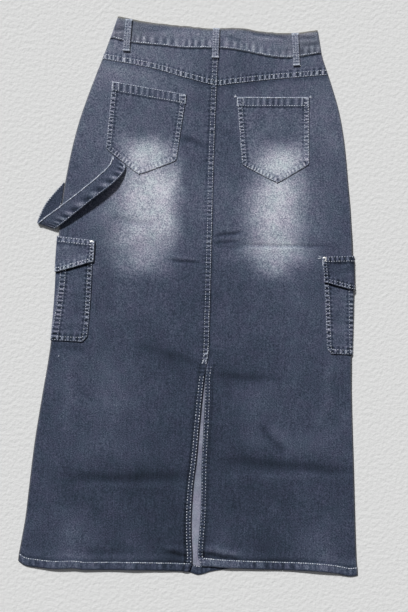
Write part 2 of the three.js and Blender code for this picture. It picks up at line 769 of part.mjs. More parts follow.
function addCargo(side) {
  const cargo = CARGO[side];
  const onFloor = () => 0;
  const onFlap = (x, y) => liftUnder(x, y, 'flap', 13, 16);
  const pocketColumns = wrapColumns(cargo.over, cargo.under);
  const pocketRows = [0, 0.015, 0.05, 0.12, 0.22, 0.33, 0.44, 0.55, 0.66, 0.76, 0.86, 0.94, 1];
  const pocketPlace = (column, share, isOuter) => {
    const y = mix(cargo.bottom, cargo.top, share);
    const corner = CARGO_CORNER * (1 - step(0, CARGO_CORNER, y - cargo.bottom)) * 0.6;
    const over = mix(cargo.overLow, cargo.over, share) - corner;
    return wrapPoint(side, column, y, over, cargo.under - corner, GAP, isOuter, onFlap);
  };
  const pocketOuter = (column, share) => pocketPlace(column, share, true);
  const pocketInner = (column, share) => pocketPlace(column, share, false);
  const pocket = wall(pocketColumns, pocketRows, pocketOuter, pocketInner);
  addPiece(`cargo_pocket_${side}`, pocket, DENIM_DARK);

  const flapColumns = wrapColumns(cargo.over, cargo.under);
  const flapRows = [0, 0.04, 0.35, 0.6, 0.78, 0.9, 1];
  const flapPlace = (column, share, isOuter) => {
    const over = mix(cargo.flapOverLow, cargo.over, share) + FLAP_MARGIN;
    const under = cargo.under + FLAP_MARGIN;
    const inward = flapInward(column, over, under);
    const y = mix(flapLow(cargo, inward), flapHigh(cargo, inward), share);
    const onPocket = 1 - step(cargo.top + 6, cargo.top + 11, y);
    return wrapPoint(side, column, y, over, under, GAP + PLY * onPocket, isOuter, onFloor);
  };
  const flapOuter = (column, share) => flapPlace(column, share, true);
  const flapInner = (column, share) => flapPlace(column, share, false);
  addPiece(`cargo_flap_${side}`, wall(flapColumns, flapRows, flapOuter, flapInner), DENIM_DARK);

  const sense = side === 'left' ? 1 : -1;
  const rivetIn = cargo.over + FLAP_MARGIN - RIVET_INSET;
  const rivetX = sideLine(side, cargo.flapTop) + sense * rivetIn;
  const rivetY = flapHigh(cargo, rivetIn) - RIVET_INSET;
  const profile = [
    new THREE.Vector2(0, 0),
    new THREE.Vector2(RIVET_RADIUS, 0),
    new THREE.Vector2(RIVET_RADIUS, 0.6),
    new THREE.Vector2(RIVET_RADIUS * 0.7, RIVET_HEIGHT * 0.85),
    new THREE.Vector2(0, RIVET_HEIGHT),
  ];
  const dome = new THREE.LatheGeometry(profile, 16);
  dome.rotateX(Math.PI / 2);
  const rivet = addPiece(`cargo_rivet_${side}`, dome, STEEL, 0.35, 1);
  rivet.position.set(rivetX, rivetY, laidTop(rivetX, rivetY, RIVET_RADIUS) + GAP);
}

// Distance from the side line of a flap's column, counted on round the seam as on flat cloth
function flapInward(column, over, under) {
  if (column.leaf === 'over') {
    return mix(over, ROUND_OFF, column.share);
  }
  return column.leaf === 'under' ? -mix(1, under, column.share) : 0;
}

// The hammer loop
function addHammerLoop() {
  const keyed = HAMMER_LOOP.map((row, n) => ({ ...row, n: n / (HAMMER_LOOP.length - 1) }));
  const at = (key, n) => read(keyed, 'n', key, n);
  const point = (across, n) => new THREE.Vector3(
    mix(at('outerX', n), at('innerX', n), across),
    mix(at('outerY', n), at('innerY', n), across),
    at('z', n),
  );
  const place = (across, n, sense) => {
    const nudge = 0.004;
    const ahead = point(across, Math.min(n + nudge, 1));
    const behind = point(across, Math.max(n - nudge, 0));
    const sideways = point(1, n).sub(point(0, n));
    const normal = ahead.sub(behind).cross(sideways).normalize();
    return point(across, n).addScaledVector(normal, (sense * STRAP_CLOTH) / 2).toArray();
  };
  const rows = [];
  for (let n = 0; n <= HAMMER_ROWS; n += 1) {
    rows.push(n / HAMMER_ROWS);
  }
  const outer = (across, n) => place(across, n, 1);
  const inner = (across, n) => place(across, n, -1);
  addPiece('hammer_loop', wall([0, 0.5, 1], rows, outer, inner), DENIM_DARK);
}

addFront();
for (const side of ['left', 'right']) {
  addBodyPiece(`back_${side}`, side, UP_PANEL, hemLine[side], yokeLine, HEM_RISE, DENIM);
  addBodyPiece(`yoke_${side}`, side, UP_YOKE, yokeLower, waistLine, FELL_RISE, DENIM_WORN);
}
addWaistband();
for (const [name, corners] of Object.entries(BACK_POCKETS)) {
  addBackPocket(name, corners);
}
for (const [name, ends] of Object.entries(BELT_LOOPS)) {
  addBeltLoop(name, ends);
}
addCargo('left');
addCargo('right');
addHammerLoop();

// The origin is the middle of the skirt's box, on the surface that it lies on
const box = new THREE.Box3().setFromObject(model);
const middle = box.getCenter(new THREE.Vector3());
model.position.set(-middle.x, -middle.y, 0);

export default model;
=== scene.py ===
"""A long skirt of washed denim, laid flat with its back up.

Sizes are millimetres in the skirt's own frame until a mesh is filled. A piece of cloth is a thin
shell in the place of the solid that it stands for. Its first attribute says how pale it is, from 0
for unwashed to 1 for white: mostly faded by wear, with painted shade in the troughs of creases
and folds and along stitch rows, painted shadows beside seams and hems, under the yoke, the
waistband, the cargo flaps and the left cargo pocket's foot and along the slit's edge, and painted
shade on the hammer loop's rear leaf. Its attribute "rub" says how far an edge has lost its dye.
On thread, the first attribute is each stitch's paleness, from -1 to 1, which paints light and
shade from stitch to stitch.
"""
import math

import bmesh
import bpy
import numpy as np
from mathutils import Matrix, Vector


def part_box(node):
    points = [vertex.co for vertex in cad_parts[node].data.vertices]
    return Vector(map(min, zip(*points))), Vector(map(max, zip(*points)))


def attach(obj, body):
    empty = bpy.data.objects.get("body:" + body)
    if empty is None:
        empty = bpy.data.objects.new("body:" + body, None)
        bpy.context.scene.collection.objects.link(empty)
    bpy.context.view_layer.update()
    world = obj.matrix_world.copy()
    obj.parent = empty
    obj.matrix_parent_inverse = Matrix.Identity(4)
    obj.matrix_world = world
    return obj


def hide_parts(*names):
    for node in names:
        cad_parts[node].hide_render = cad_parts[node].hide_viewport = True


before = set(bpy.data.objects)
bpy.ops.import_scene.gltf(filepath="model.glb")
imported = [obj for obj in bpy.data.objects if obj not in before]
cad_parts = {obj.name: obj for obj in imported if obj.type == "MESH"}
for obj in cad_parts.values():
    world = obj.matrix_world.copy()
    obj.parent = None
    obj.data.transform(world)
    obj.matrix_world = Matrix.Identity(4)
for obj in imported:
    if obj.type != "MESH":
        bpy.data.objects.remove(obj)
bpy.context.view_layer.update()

# Cloth and seams
CLOTH = 1.2
FOLDED_CLOTH = 2.4
STRAP_CLOTH = 2.0
HEM_CLOTH = 0.7
GAP = 0.3
PLY = CLOTH + GAP
HEM_HEIGHT = 15.0
HEM_RISE = 1.1
HEM_ROW = HEM_HEIGHT - 1.4
FELL_WIDTH = 10.5
FELL_RISE = 0.8
EDGE_DROP = 0.45
ROUND_OFF = 5.0
LOFT = 2.2
LOFT_AT_WAIST = 0.9
LOFT_REACH = 60.0
ON_FLOOR = 0.02
STEPS_TO_SETTLE = 8

# Rows of stitches: pitch, length and thickness, and how far in the row beside an edge lies
FINE_ROW = (4.4, 2.8, 1.15)
EDGE_ROW = (4.4, 3.4, 1.45)
ROW_IN = 1.8


def table(names, *rows):
    """A short table with named columns."""
    return {name: np.array(column, float) for name, column in zip(names.split(), zip(*rows))}


# The body's two side lines, from hem to waist
SIDES = table(
    "y left right",
    (-492, -299.0, 296.5),
    (-468, -298.8, 295.5),
    (-440, -295.5, 292.2),
    (-400, -290.5, 288.6),
    (-355, -287.5, 285.0),
    (-270, -281.5, 278.2),
    (-186, -272.4, 271.3),
    (-101, -262.6, 265.6),
    (-17, -258.8, 262.8),
    (67, -258.4, 258.6),
    (157, -255.0, 251.2),
    (215, -248.2, 243.2),
    (257, -241.3, 237.4),
    (300, -232.0, 230.0),
    (342, -219.8, 219.8),
    (385, -205.9, 204.8),
    (407, -198.3, 196.2),
    (435, -189.3, 185.6),
    (484, -174.5, 174.6),
)

# The centre back: the edge of the left panel's lap and the edge of the right panel
CENTRE_BACK = table(
    "y left right",
    (-480, -0.5, 27.0),
    (-468, 4.2, 21.5),
    (-450, 4.4, 14.2),
    (-415, 0.9, 14.6),
    (-372, -0.7, 15.2),
    (-328, 0.0, 13.8),
    (-284, 3.2, 12.4),
    (-222, 5.4, 12.6),
    (-183, 7.2, 12.4),
    (-134, 10.2, 11.2),
    (-100, 15.0, 15.3),
    (-60, 14.6, 14.9),
    (102, 10.7, 11.0),
    (242, 6.9, 7.2),
    (376, 5.1, 5.4),
    (450, 4.7, 5.0),
)
SLIT_TOP = -112.0

# Cross seams and hems, from left to right
HEM = {
    "left": table(
        "x y",
        (-298.8, -477.0),
        (-288.0, -483.6),
        (-268.0, -486.0),
        (-234.0, -487.4),
        (-202.0, -484.6),
        (-183.0, -486.0),
        (-122.0, -483.0),
        (-47.0, -480.4),
        (0.0, -479.4),
    ),
    "right": table(
        "x y",
        (22.0, -468.6),
        (72.0, -469.6),
        (122.0, -469.3),
        (223.0, -467.4),
        (257.0, -469.4),
        (282.0, -473.2),
        (295.6, -471.0),
    ),
    "front": table(
        "x y",
        (-298.8, -474.0),
        (-200.0, -481.0),
        (-60.0, -479.0),
        (2.0, -481.0),
        (17.0, -484.3),
        (40.0, -477.0),
        (75.0, -470.6),
        (107.0, -467.0),
        (160.0, -465.5),
        (295.6, -466.0),
    ),
}
YOKE_SEAM = table(
    "x y",
    (-199.0, 408.0),
    (-107.0, 395.3),
    (-50.0, 381.9),
    (3.0, 371.3),
    (26.0, 374.6),
    (83.0, 384.4),
    (144.0, 393.0),
    (197.0, 400.2),
)
WAIST_SEAM = table(
    "x y",
    (-186.0, 446.2),
    (-146.0, 439.0),
    (-95.0, 436.8),
    (-48.0, 434.6),
    (16.0, 436.6),
    (58.0, 433.0),
    (101.0, 427.0),
    (134.0, 427.6),
    (185.0, 438.4),
)
WAIST_TOP = table(
    "x y",
    (-175.0, 484.0),
    (-117.0, 476.8),
    (-55.0, 472.8),
    (-5.0, 470.7),
    (37.0, 474.2),
    (85.0, 470.4),
    (132.0, 470.6),
    (175.0, 478.4),
)

FOLD_COLUMNS = "x y turn length width height"
# Folds of the back: middle, direction, half length, half width, height
FOLDS = table(
    FOLD_COLUMNS,
    (165, -294, -3, 125, 26, -0.9),
    (185, -250, -3, 90, 24, 1.2),
    (-115, -322, 3, 115, 26, -1.0),
    (-130, -280, 4, 90, 26, 1.3),
    (-60, -106, -12, 60, 22, -1.1),
    (85, -135, -2, 65, 22, -1.0),
    (135, -243, -45, 34, 18, -0.9),
    (120, 96, 3, 75, 16, -1.1),
    (-80, 84, 6, 60, 20, -0.8),
    (110, -190, 80, 70, 34, 1.2),
    (-150, -190, 86, 80, 36, 1.2),
    (-205, -455, 84, 62, 30, 2.2),
    (-100, -462, 92, 56, 26, 1.6),
    (-26, -466, 88, 44, 17, -1.1),
    (62, -452, 96, 58, 24, 1.9),
    (150, -452, 90, 56, 28, -1.1),
    (232, -448, 95, 66, 30, 2.2),
)
# Creases pressed into the cloth, narrower than the folds
CREASES = table(
    FOLD_COLUMNS,
    (130, 98, 2, 76, 2.8, -1.4),
    (127, 92, 2, 72, 5, 0.6),
    (39, 114, 11, 22, 3.0, -1.8),
    (36, 99, 6, 23, 3.0, -1.5),
    (44, 91, 2, 26, 3.2, -0.9),
    (-36, 62, -3, 25, 2.8, -1.7),
    (-38, 68, -3, 27, 4.0, 0.5),
    (-128, 128, -4, 40, 7, -0.9),
    (-30, 271, -18, 24, 5.5, -1.3),
    (30, 286, -14, 15, 5, -0.5),
    (80, -134, -2, 56, 6, -0.7),
    (135, -243, -43, 30, 6, -1.0),
    (148, -232, -43, 24, 8, 0.6),
    (165, -284, -2, 110, 8, -0.8),
    (170, -304, 2, 105, 7, 0.6),
    (-115, -320, 3, 98, 8, -0.8),
    (-108, -334, 3, 88, 7, 0.5),
    # This trough under the left cargo pocket's foot also paints its shadow into the cloth's paleness.
    (-228, -99, -3, 34, 6, -0.9),
    (-50, -104, -14, 52, 7, -0.6),
    (-19, -449.5, -10, 22, 3.4, -1.4),
    (-24, -440, -8, 24, 6, 0.8),
    (50, -449, -6, 33, 3.4, -2.3),
    (56, -440, -4, 40, 6, 1.0),
    (-150, -452, 2, 60, 5, -0.4),
    (180, -450, 1, 70, 5, -0.5),
    (-205, 20, 70, 40, 9, 0.5),
    (225, -150, 84, 60, 10, 0.6),
    (-225, -190, 92, 70, 10, 0.5),
    (-60, 320, 60, 30, 9, 0.3),
    (205, 300, -70, 40, 8, 0.4),
)
# Creases of the waistband's back
BAND_CREASES = table(
    FOLD_COLUMNS,
    (92, 464, -4, 40, 3.0, -0.7),
    (88, 458, -3, 34, 4.0, 0.4),
    (-166, 462, 8, 12, 2.6, -0.6),
    (-60, 460, 2, 46, 5.0, 0.35),
    (158, 464, 10, 16, 3.0, -0.6),
    (150, 448, 12, 26, 3.0, -0.4),
    (30, 455, -18, 14, 3.0, -0.5),
    (-110, 463, 0, 30, 3.0, -0.3),
    (160, 470, 6, 15, 2.0, 0.5),
    (158, 458, 6, 17, 2.2, 0.5),
    (163, 452, 8, 14, 1.8, -0.5),
    (-164, 470, 6, 12, 2.2, 0.4),
    (-170, 456, 10, 10, 2.0, 0.4),
    (-120, 470, -4, 40, 2.4, -0.4),
    (28, 466, 35, 10, 3.0, 0.5),
)

# Waistband
WAIST_GAP = 0.9
LAP_HALF = 20.0
LAP_SPREAD = 78.0
BUTTON_THICK = 1.5
WAIST_REACH = 115.0
BUTTON_ROOM = BUTTON_THICK + GAP
LAP_RISE = BUTTON_ROOM + FOLDED_CLOTH + GAP
BAND_BACK_BOTTOM = FOLDED_CLOTH + WAIST_GAP
BEND_RADIUS = WAIST_GAP / 2 + FOLDED_CLOTH

# Back pockets, corner by corner
BACK_POCKETS = {
    "left": {
        "top_left": (-178.5, 370.6),
        "top_right": (-46.9, 354.0),
        "low_left": (-183.7, 251.7),
        "foot": (-123.1, 208.6),
        "low_right": (-58.8, 236.9),
    },
    "right": {
        "top_left": (40.2, 354.4),
        "top_right": (167.2, 360.5),
        "low_left": (55.6, 236.0),
        "foot": (119.6, 206.5),
        "low_right": (173.4, 242.2),
    },
}
POCKET_HEM = 17.0
POCKET_PUFF = 0.8

# Belt loops: lower end, upper end
LOOP_WIDTH = 12.0
BELT_LOOPS = {
    "left": ((-156.4, 423.5), (-154.8, 480.2)),
    "centre": ((-0.6, 419.0), (-1.2, 470.9)),
    "right": ((142.3, 413.5), (136.2, 470.6)),
}
LOOP_PUFF = 1.2
LOOP_FREE = 0.24
LOOP_OFF_YOKE = 0.9
LOOP_OFF_BAND = 0.5

# Cargo pockets and flaps, wrapped round the side seams. Heights are top, bottom, flap_top,
# flap_top_over, flap_side and flap_point. The rest are distances in from the side line.
CARGO = {
    "left": dict(
        over=63.0, over_low=63.0, under=40.0, top=84.0, bottom=-88.0,
        flap_top=95.0, flap_top_over=91.0, flap_over_low=63.0,
        flap_side=53.0, flap_point=32.0, point=2.0,
        band_top=15.0, band_bottom=6.0,
    ),
    "right": dict(
        over=53.0, over_low=44.0, under=52.0, top=77.0, bottom=-86.0,
        flap_top=87.5, flap_top_over=83.5, flap_over_low=49.5,
        flap_side=39.0, flap_point=28.0, point=2.0,
        band_top=4.0, band_bottom=0.0,
    ),
}
CARGO_CORNER = 12.0
FLAP_MARGIN = 1.5
RIVET_RADIUS = 4.5
RIVET_HEIGHT = 1.5
BUTTON_RADIUS = 8.5

# The hammer loop: its outer and inner edges and the height of its middle
HAMMER_LOOP = table(
    "n outer_x outer_y inner_x inner_y z",
    (0, -171.8, 242.0, -146.0, 223.6, 6.6),
    (1, -175.5, 224.0, -150.5, 210.0, 10.6),
    (2, -194.5, 202.0, -167.5, 189.5, 16.6),
    (3, -225.5, 173.4, -200.5, 161.0, 18.6),
    (4, -257.0, 146.8, -231.0, 134.0, 16.0),
    (5, -283.0, 126.5, -254.0, 114.0, 11.8),
    (6, -293.5, 118.0, -261.5, 109.5, 8.0),
    (7, -296.5, 116.5, -264.5, 107.8, 4.6),
    (8, -296.0, 120.5, -264.5, 110.5, 2.1),
    (9, -292.0, 133.0, -262.5, 118.0, 1.2),
    (10, -283.5, 151.5, -260.5, 132.0, 1.1),
    (11, -268.5, 172.0, -258.5, 144.0, 1.2),
    (12, -253.6, 190.0, -256.2, 153.0, 1.4),
)

# How pale the back is worn from hem to waist, along its middle and along its sides
WASH = table(
    "y middle side",
    (-490, 0.222, 0.260),
    (-400, 0.230, 0.262),
    (-250, 0.245, 0.276),
    (-100, 0.267, 0.292),
    (0, 0.290, 0.310),
    (100, 0.300, 0.315),
    (180, 0.312, 0.330),
    (260, 0.325, 0.365),
    (330, 0.325, 0.385),
    (380, 0.342, 0.400),
    (450, 0.362, 0.405),
)
# Patches sanded pale by hand: each side's place and softness, and how much paler
PATCH_COLUMNS = "left left_soft right right_soft low low_soft high high_soft amount"
FADES = table(
    PATCH_COLUMNS,
    (-154, 44, -53, 19, 100, 20, 232, 42, 0.31),
    (-158, 46, -62, 28, 70, 18, 100, 20, 0.26),
    (-150, 44, -72, 34, 40, 22, 70, 18, 0.22),
    (-240, 40, -50, 60, -220, 40, -80, 60, 0.022),
    (-126, 34, -66, 30, 158, 30, 222, 40, 0.08),
    (-215, 50, 28, 30, 75, 60, 215, 50, 0.055),
    (84, 38, 152, 36, 104, 10, 222, 42, 0.31),
    (104, 36, 172, 26, 186, 26, 234, 20, 0.12),
    (76, 40, 164, 38, 74, 14, 104, 10, 0.29),
    (96, 34, 142, 32, 44, 18, 74, 14, 0.26),
    (45, 45, 205, 40, 60, 40, 210, 50, 0.08),
)
POCKET_FADES = table(
    PATCH_COLUMNS,
    (-148, 30, -68, 26, 190, 20, 266, 22, 0.36),
    (86, 34, 158, 34, 220, 22, 268, 22, 0.36),
    (84, 34, 152, 34, 190, 20, 250, 30, 0.10),
    (146, 20, 185, 20, 232, 30, 305, 34, 0.06),
)

# The skirt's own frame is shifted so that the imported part's box is centred
SHIFT_X = 500 * (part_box("waist_button")[0][0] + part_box("waist_button")[1][0])
SHIFT_Y = 1000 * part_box("cargo_pocket_left")[0][1] - CARGO["left"]["bottom"]


def mix(a, b, t):
    return a + (b - a) * t


def smooth(low, high, at):
    t = np.clip((at - low) / (high - low), 0, 1)
    return t * t * (3 - 2 * t)


def hump(at, middle, half):
    """A bell from 0 to 1 round a middle."""
    return np.exp(-(((at - middle) / half) ** 2))


def window(at, low, full, fading, high):
    """Rises from 0 at `low` to 1 at `full`, and falls again from `fading` to `high`."""
    return smooth(low, full, at) * (1 - smooth(fading, high, at))


def read(rows, by, wanted, at):
    """A smooth curve through a table's rows: one column's value where another is `at`."""
    x = rows[by]
    v = rows[wanted]
    at = np.asarray(at, float)
    first = np.clip(np.searchsorted(x, at, side="right") - 1, 0, len(x) - 2)
    before = np.maximum(first - 1, 0)
    after = np.minimum(first + 2, len(x) - 1)
    span = x[first + 1] - x[first]
    t = (at - x[first]) / span
    slope_a = (v[first + 1] - v[before]) / (x[first + 1] - x[before]) * span
    slope_b = (v[after] - v[first]) / (x[after] - x[first]) * span
    t2 = t * t
    t3 = t2 * t
    start = (2 * t3 - 3 * t2 + 1) * v[first] + (t3 - 2 * t2 + t) * slope_a
    return start + (3 * t2 - 2 * t3) * v[first + 1] + (t3 - t2) * slope_b


def wander(at, pitch, seed):
    """Smooth noise from -1 to 1 along a line, with a knot every `pitch` mm."""
    knots = np.random.default_rng(seed).uniform(-1, 1, 1024)
    place = np.asarray(at, float) / pitch + 500
    first = np.floor(place).astype(int)
    t = smooth(0, 1, place - first)
    return mix(knots[first % 1024], knots[(first + 1) % 1024], t)


def mottle(x, y, pitch, seed):
    """Smooth noise from -1 to 1 over the cloth, with a knot every `pitch` mm each way."""
    knots = np.random.default_rng(seed).uniform(-1, 1, (256, 256))
    px = np.asarray(x, float) / pitch + 128
    py = np.asarray(y, float) / pitch + 128
    ix = np.floor(px).astype(int)
    iy = np.floor(py).astype(int)
    tx = smooth(0, 1, px - ix)
    ty = smooth(0, 1, py - iy)
    low = mix(knots[ix % 256, iy % 256], knots[(ix + 1) % 256, iy % 256], tx)
    high = mix(knots[ix % 256, (iy + 1) % 256], knots[(ix + 1) % 256, (iy + 1) % 256], tx)
    return mix(low, high, ty)


# Lines across the body, and heights over the floor
def side_line(side, y):
    return read(SIDES, "y", side, y)


def centre_line(side, y):
    return read(CENTRE_BACK, "y", side, y)


def in_from_side(side, x, y):
    return x - side_line("left", y) if side == "left" else side_line("right", y) - x


def yoke_line(x):
    return read(YOKE_SEAM, "x", "y", x)


def waist_line(x):
    return read(WAIST_SEAM, "x", "y", x)


def hem_line(side, x):
    return read(HEM[side], "x", "y", x)


def flap_low(cargo, inward):
    slope = (cargo["flap_side"] - cargo["flap_point"]) / (cargo["over"] - cargo["point"])
    return cargo["flap_point"] + np.abs(inward - cargo["point"]) * slope


def flap_high(cargo, inward):
    share = np.clip(inward / cargo["over"], 0, 1)
    return mix(cargo["flap_top"], cargo["flap_top_over"], share)


def lift_under(x, y, wanted, margin, ramp):
    lift = np.zeros_like(np.asarray(x, float))
    for side, cargo in CARGO.items():
        inward = in_from_side(side, x, y)
        low = cargo["flap_point"] if wanted == "flap" else cargo["bottom"]
        high = cargo["flap_top"] if wanted == "flap" else cargo["top"]
        across = 1 - smooth(cargo["under"] + margin, cargo["under"] + margin + ramp, inward)
        along = window(y, low - margin - ramp, low - margin, high + margin, high + margin + ramp)
        lift = np.maximum(lift, PLY * across * along)
    return lift


def near_waist(x, y):
    seam = waist_line(x)
    return smooth(seam - WAIST_REACH, seam, y)


def lap_share(x):
    """How much of the front closure's thickness lies under a point."""
    return 1 - smooth(LAP_HALF + 2, LAP_SPREAD, np.abs(x))


def cargo_lift(x, y):
    return lift_under(x, y, "flap", 26, 42) + lift_under(x, y, "pocket", 26, 42)


def front_bottom(x, y):
    at_seam = (FOLDED_CLOTH - CLOTH) / 2 + LAP_RISE * 0.5 * lap_share(x)
    return cargo_lift(x, y) + near_waist(x, y) * at_seam


def fold_height(rows, x, y):
    total = np.zeros_like(np.asarray(x, float))
    for n, (fold_x, fold_y, turn, length, width, height) in enumerate(zip(*rows.values())):
        angle = math.radians(turn)
        dx = x - fold_x
        dy = y - fold_y
        along = (dx * math.cos(angle) + dy * math.sin(angle)) / length
        across = (dy * math.cos(angle) - dx * math.sin(angle)) / width
        bend = 0.35 * wander(along * 3, 1.0, n + 40)
        total += height * np.exp(-(along**4) - (across + bend) ** 2)
    return total


def back_lie(x, y):
    """The top of the plain back, before its seams."""
    waist = near_waist(x, y)
    inward = np.minimum(in_from_side("left", x, y), in_from_side("right", x, y))
    away = smooth(0, LOFT_REACH, inward)
    loft = mix(LOFT, LOFT_AT_WAIST, waist) * away
    at_seam = BAND_BACK_BOTTOM + LAP_RISE * lap_share(x) - PLY
    ripple = 0.28 * mottle(x, y, 38, 3) + 0.12 * mottle(x, y, 15, 4)
    folds = fold_height(FOLDS, x, y) + fold_height(CREASES, x, y) + ripple
    lift = cargo_lift(x, y) + waist * at_seam
    return PLY + lift + np.maximum(loft + folds * smooth(0, 24, inward), 0) + CLOTH


# Wash
def sanded(rows, x, y):
    """How much paler the sanded patches make the cloth."""
    paler = np.zeros_like(np.asarray(x, float))
    x = x + 5 * mottle(x, y, 30, 11) + 2 * mottle(x, y, 11, 13)
    y = y + 5 * mottle(x, y, 26, 12)
    for left, left_soft, right, right_soft, low, low_soft, high, high_soft, amount in zip(*rows.values()):
        across = window(x, left - left_soft, left + left_soft, right - right_soft, right + right_soft)
        along = window(y, low - low_soft, low + low_soft, high - high_soft, high + high_soft)
        paler += amount * across * along
    return paler * (1 + 0.10 * mottle(x, y, 17, 14))


def wash(x, y):
    half = np.where(x < 0, -side_line("left", y), side_line("right", y))
    aside = smooth(0.12, 0.85, np.abs(x) / half)
    tone = mix(read(WASH, "y", "middle", y), read(WASH, "y", "side", y), aside)
    tone -= 0.040 * smooth(330, 400, y) * np.clip(x / 120, -1, 1)
    tone += 0.012 * mottle(x, y, 70, 21) + 0.012 * mottle(x, y, 24, 22)
    creased = fold_height(CREASES, x, y)
    folded = fold_height(FOLDS, x, y)
    # Creases and folds wear paler on their ridges; in their troughs the darkening is painted shade.
    return tone + sanded(FADES, x, y) + 0.066 * creased + 0.026 * folded


# Seams. Each gives a rise in mm and a change of paleness, from the distance in from the edge and
# the place along it. The cloth is drawn up between the rows, so it wears pale and dark by turns.
# The change also holds painted shade along the stitch rows and a painted shadow in a thin line
# just outside the seam band.
def pucker(along, pitch, seed):
    phase = along / pitch + 0.45 * wander(along, 2.5 * pitch, seed)
    return np.sin(2 * math.pi * phase) * (0.75 + 0.35 * wander(along, 1.7 * pitch, seed + 1))


def ladder(wave):
    """Dark blocks with narrower pale rungs between them."""
    return 0.24 * np.maximum(wave, 0) ** 1.3 - 0.14 * np.maximum(-wave, 0) ** 0.6


def felled(inward, along, width, rise, pitch, seed, strength=1.0):
    plateau = window(inward, -0.1, 1.2, width, width + 1.3)
    between = window(inward, 1.2, 3.0, width - 2.4, width - 0.6)
    wave = pucker(along, pitch, seed)
    spill = hump(inward, width + 2.5, 2.6) * 0.4
    rows = hump(inward, 1.9, 0.8) + hump(inward, width - 1.5, 0.8)
    height = rise * plateau + 0.42 * wave * between - 0.25 * rows
    # Painted shade along the stitch rows, where the cloth dips.
    tone = strength * ladder(wave) * (between + spill) - 0.08 * rows
    tone += 0.18 * hump(inward, 0.5, 0.8) * (0.7 + 0.6 * wander(along, 6, seed + 2))
    # Painted shadow: a thin dark line just outside the seam band.
    tone -= 0.10 * hump(inward, width + 1.6, 1.3)
    return height, tone


def sewn(*rows):
    """Several felled edges together: their highest rise and whole change of paleness, painted shade too."""
    rises, changes = zip(*(felled(*row) for row in rows))
    return np.maximum.reduce(rises), sum(changes)


def hemmed(inward, along, seed):
    plateau = window(inward, -0.1, 1.4, HEM_HEIGHT, HEM_HEIGHT + 1.4)
    roping = pucker(along + 0.9 * inward, 16, seed)
    between = window(inward, 1, 4, HEM_HEIGHT - 3, HEM_HEIGHT)
    height = HEM_RISE * plateau + 0.45 * roping * between
    height -= 0.25 * hump(inward, HEM_ROW, 1.0)
    lightness = 0.7 + 0.6 * wander(along, 7, seed + 2)
    streaks = wander(along, 2.6, seed + 3)
    tone = (0.03 * roping + 0.045 + 0.10 * streaks) * between + 0.12 * hump(inward, 0.5, 1.0) * lightness
    # A faint paler band above the hem, and a painted shadow in a thin line just above its top edge.
    tone += 0.03 * hump(inward, HEM_HEIGHT + 9, 6) - 0.07 * hump(inward, HEM_HEIGHT + 1.6, 1.6)
    return height, tone


def body_surface(side, part):
    """The dressed top of one back panel or yoke, as a function of place."""

    def surface(x, y):
        z = back_lie(x, y) - EDGE_DROP * (1 - smooth(0, ROUND_OFF, in_from_side(side, x, y)))
        tone = wash(x, y)
        off_centre = np.abs(x - centre_line(side, y))
        lapped = 1.0 if side == "left" else 1 - smooth(SLIT_TOP - 4, SLIT_TOP, y)
        at_slit = 1 - smooth(SLIT_TOP - 4, SLIT_TOP + 4, y)
        rise, change = felled(off_centre, y, FELL_WIDTH, FELL_RISE, 7.5, 51, 1.0 - 0.5 * at_slit)
        if part == "panel":
            low_rise, low_change = hemmed(y - hem_line(side, x), x, 61)
            under_yoke = yoke_line(x) - y
            z = z - 0.3 * hump(under_yoke, 0.5, 1.6)
            # Painted shadow below the yoke seam's lapped edge.
            tone -= 0.11 * hump(under_yoke, 0.8, 1.5) + 0.04 * hump(under_yoke, 4, 4)
        else:
            low_rise, low_change = felled(y - yoke_line(x), x, FELL_WIDTH, FELL_RISE, 8.5, 71, 1.4)
            under_band = waist_line(x) - y
            draw = pucker(x, 13, 75)
            z = z + 0.25 * draw * hump(under_band, 2, 5)
            # Drawn-up puckers under the band wear pale and dark; below its edge is a painted shadow.
            tone += 0.035 * draw * hump(under_band, 3, 6) - 0.22 * hump(under_band, 0.6, 1.5)
        z = z + np.maximum(rise * lapped, low_rise)
        tone += change * lapped + low_change
        if side == "right":
            on_hem = 1 - smooth(HEM_HEIGHT - 2, HEM_HEIGHT, y - hem_line(side, x))
            # Paler on the right hem near the slit, and painted shade along the panel's edge at the slit.
            tone += 0.09 * hump(x, 48, 62) * on_hem - 0.075 * hump(off_centre, 0.3, 1.8) * (1 - lapped)
        tone += 0.05 * hump(in_from_side(side, x, y), 0.3, 1.2)
        return x, y, z, tone, 0.45 * hump(in_from_side(side, x, y), 0, 1.6)

    return surface


# Makers
def metres(x, y, z):
    placed = np.stack([x + SHIFT_X, y + SHIFT_Y, z * np.ones_like(x)], axis=1)
    return (placed / 1000).astype(np.float32)


def link(name, data):
    thing = bpy.data.objects.new(name, data)
    bpy.context.scene.collection.objects.link(thing)
    return thing


def mesh_from(form, name):
    mesh = bpy.data.meshes.new(name)
    form.to_mesh(mesh)
    form.free()
    return mesh


def add_piece(name, mesh, skins):
    """A smooth-shaded piece with its materials."""
    for skin in skins:
        mesh.materials.append(skin)
    mesh.polygons.foreach_set("use_smooth", [True] * len(mesh.polygons))
    return link(name, mesh)


def add_values(mesh, name, values):
    """Gives each point of a mesh its own value."""
    mesh.attributes.new(name, "FLOAT", "POINT").data.foreach_set("value", values.astype(np.float32))


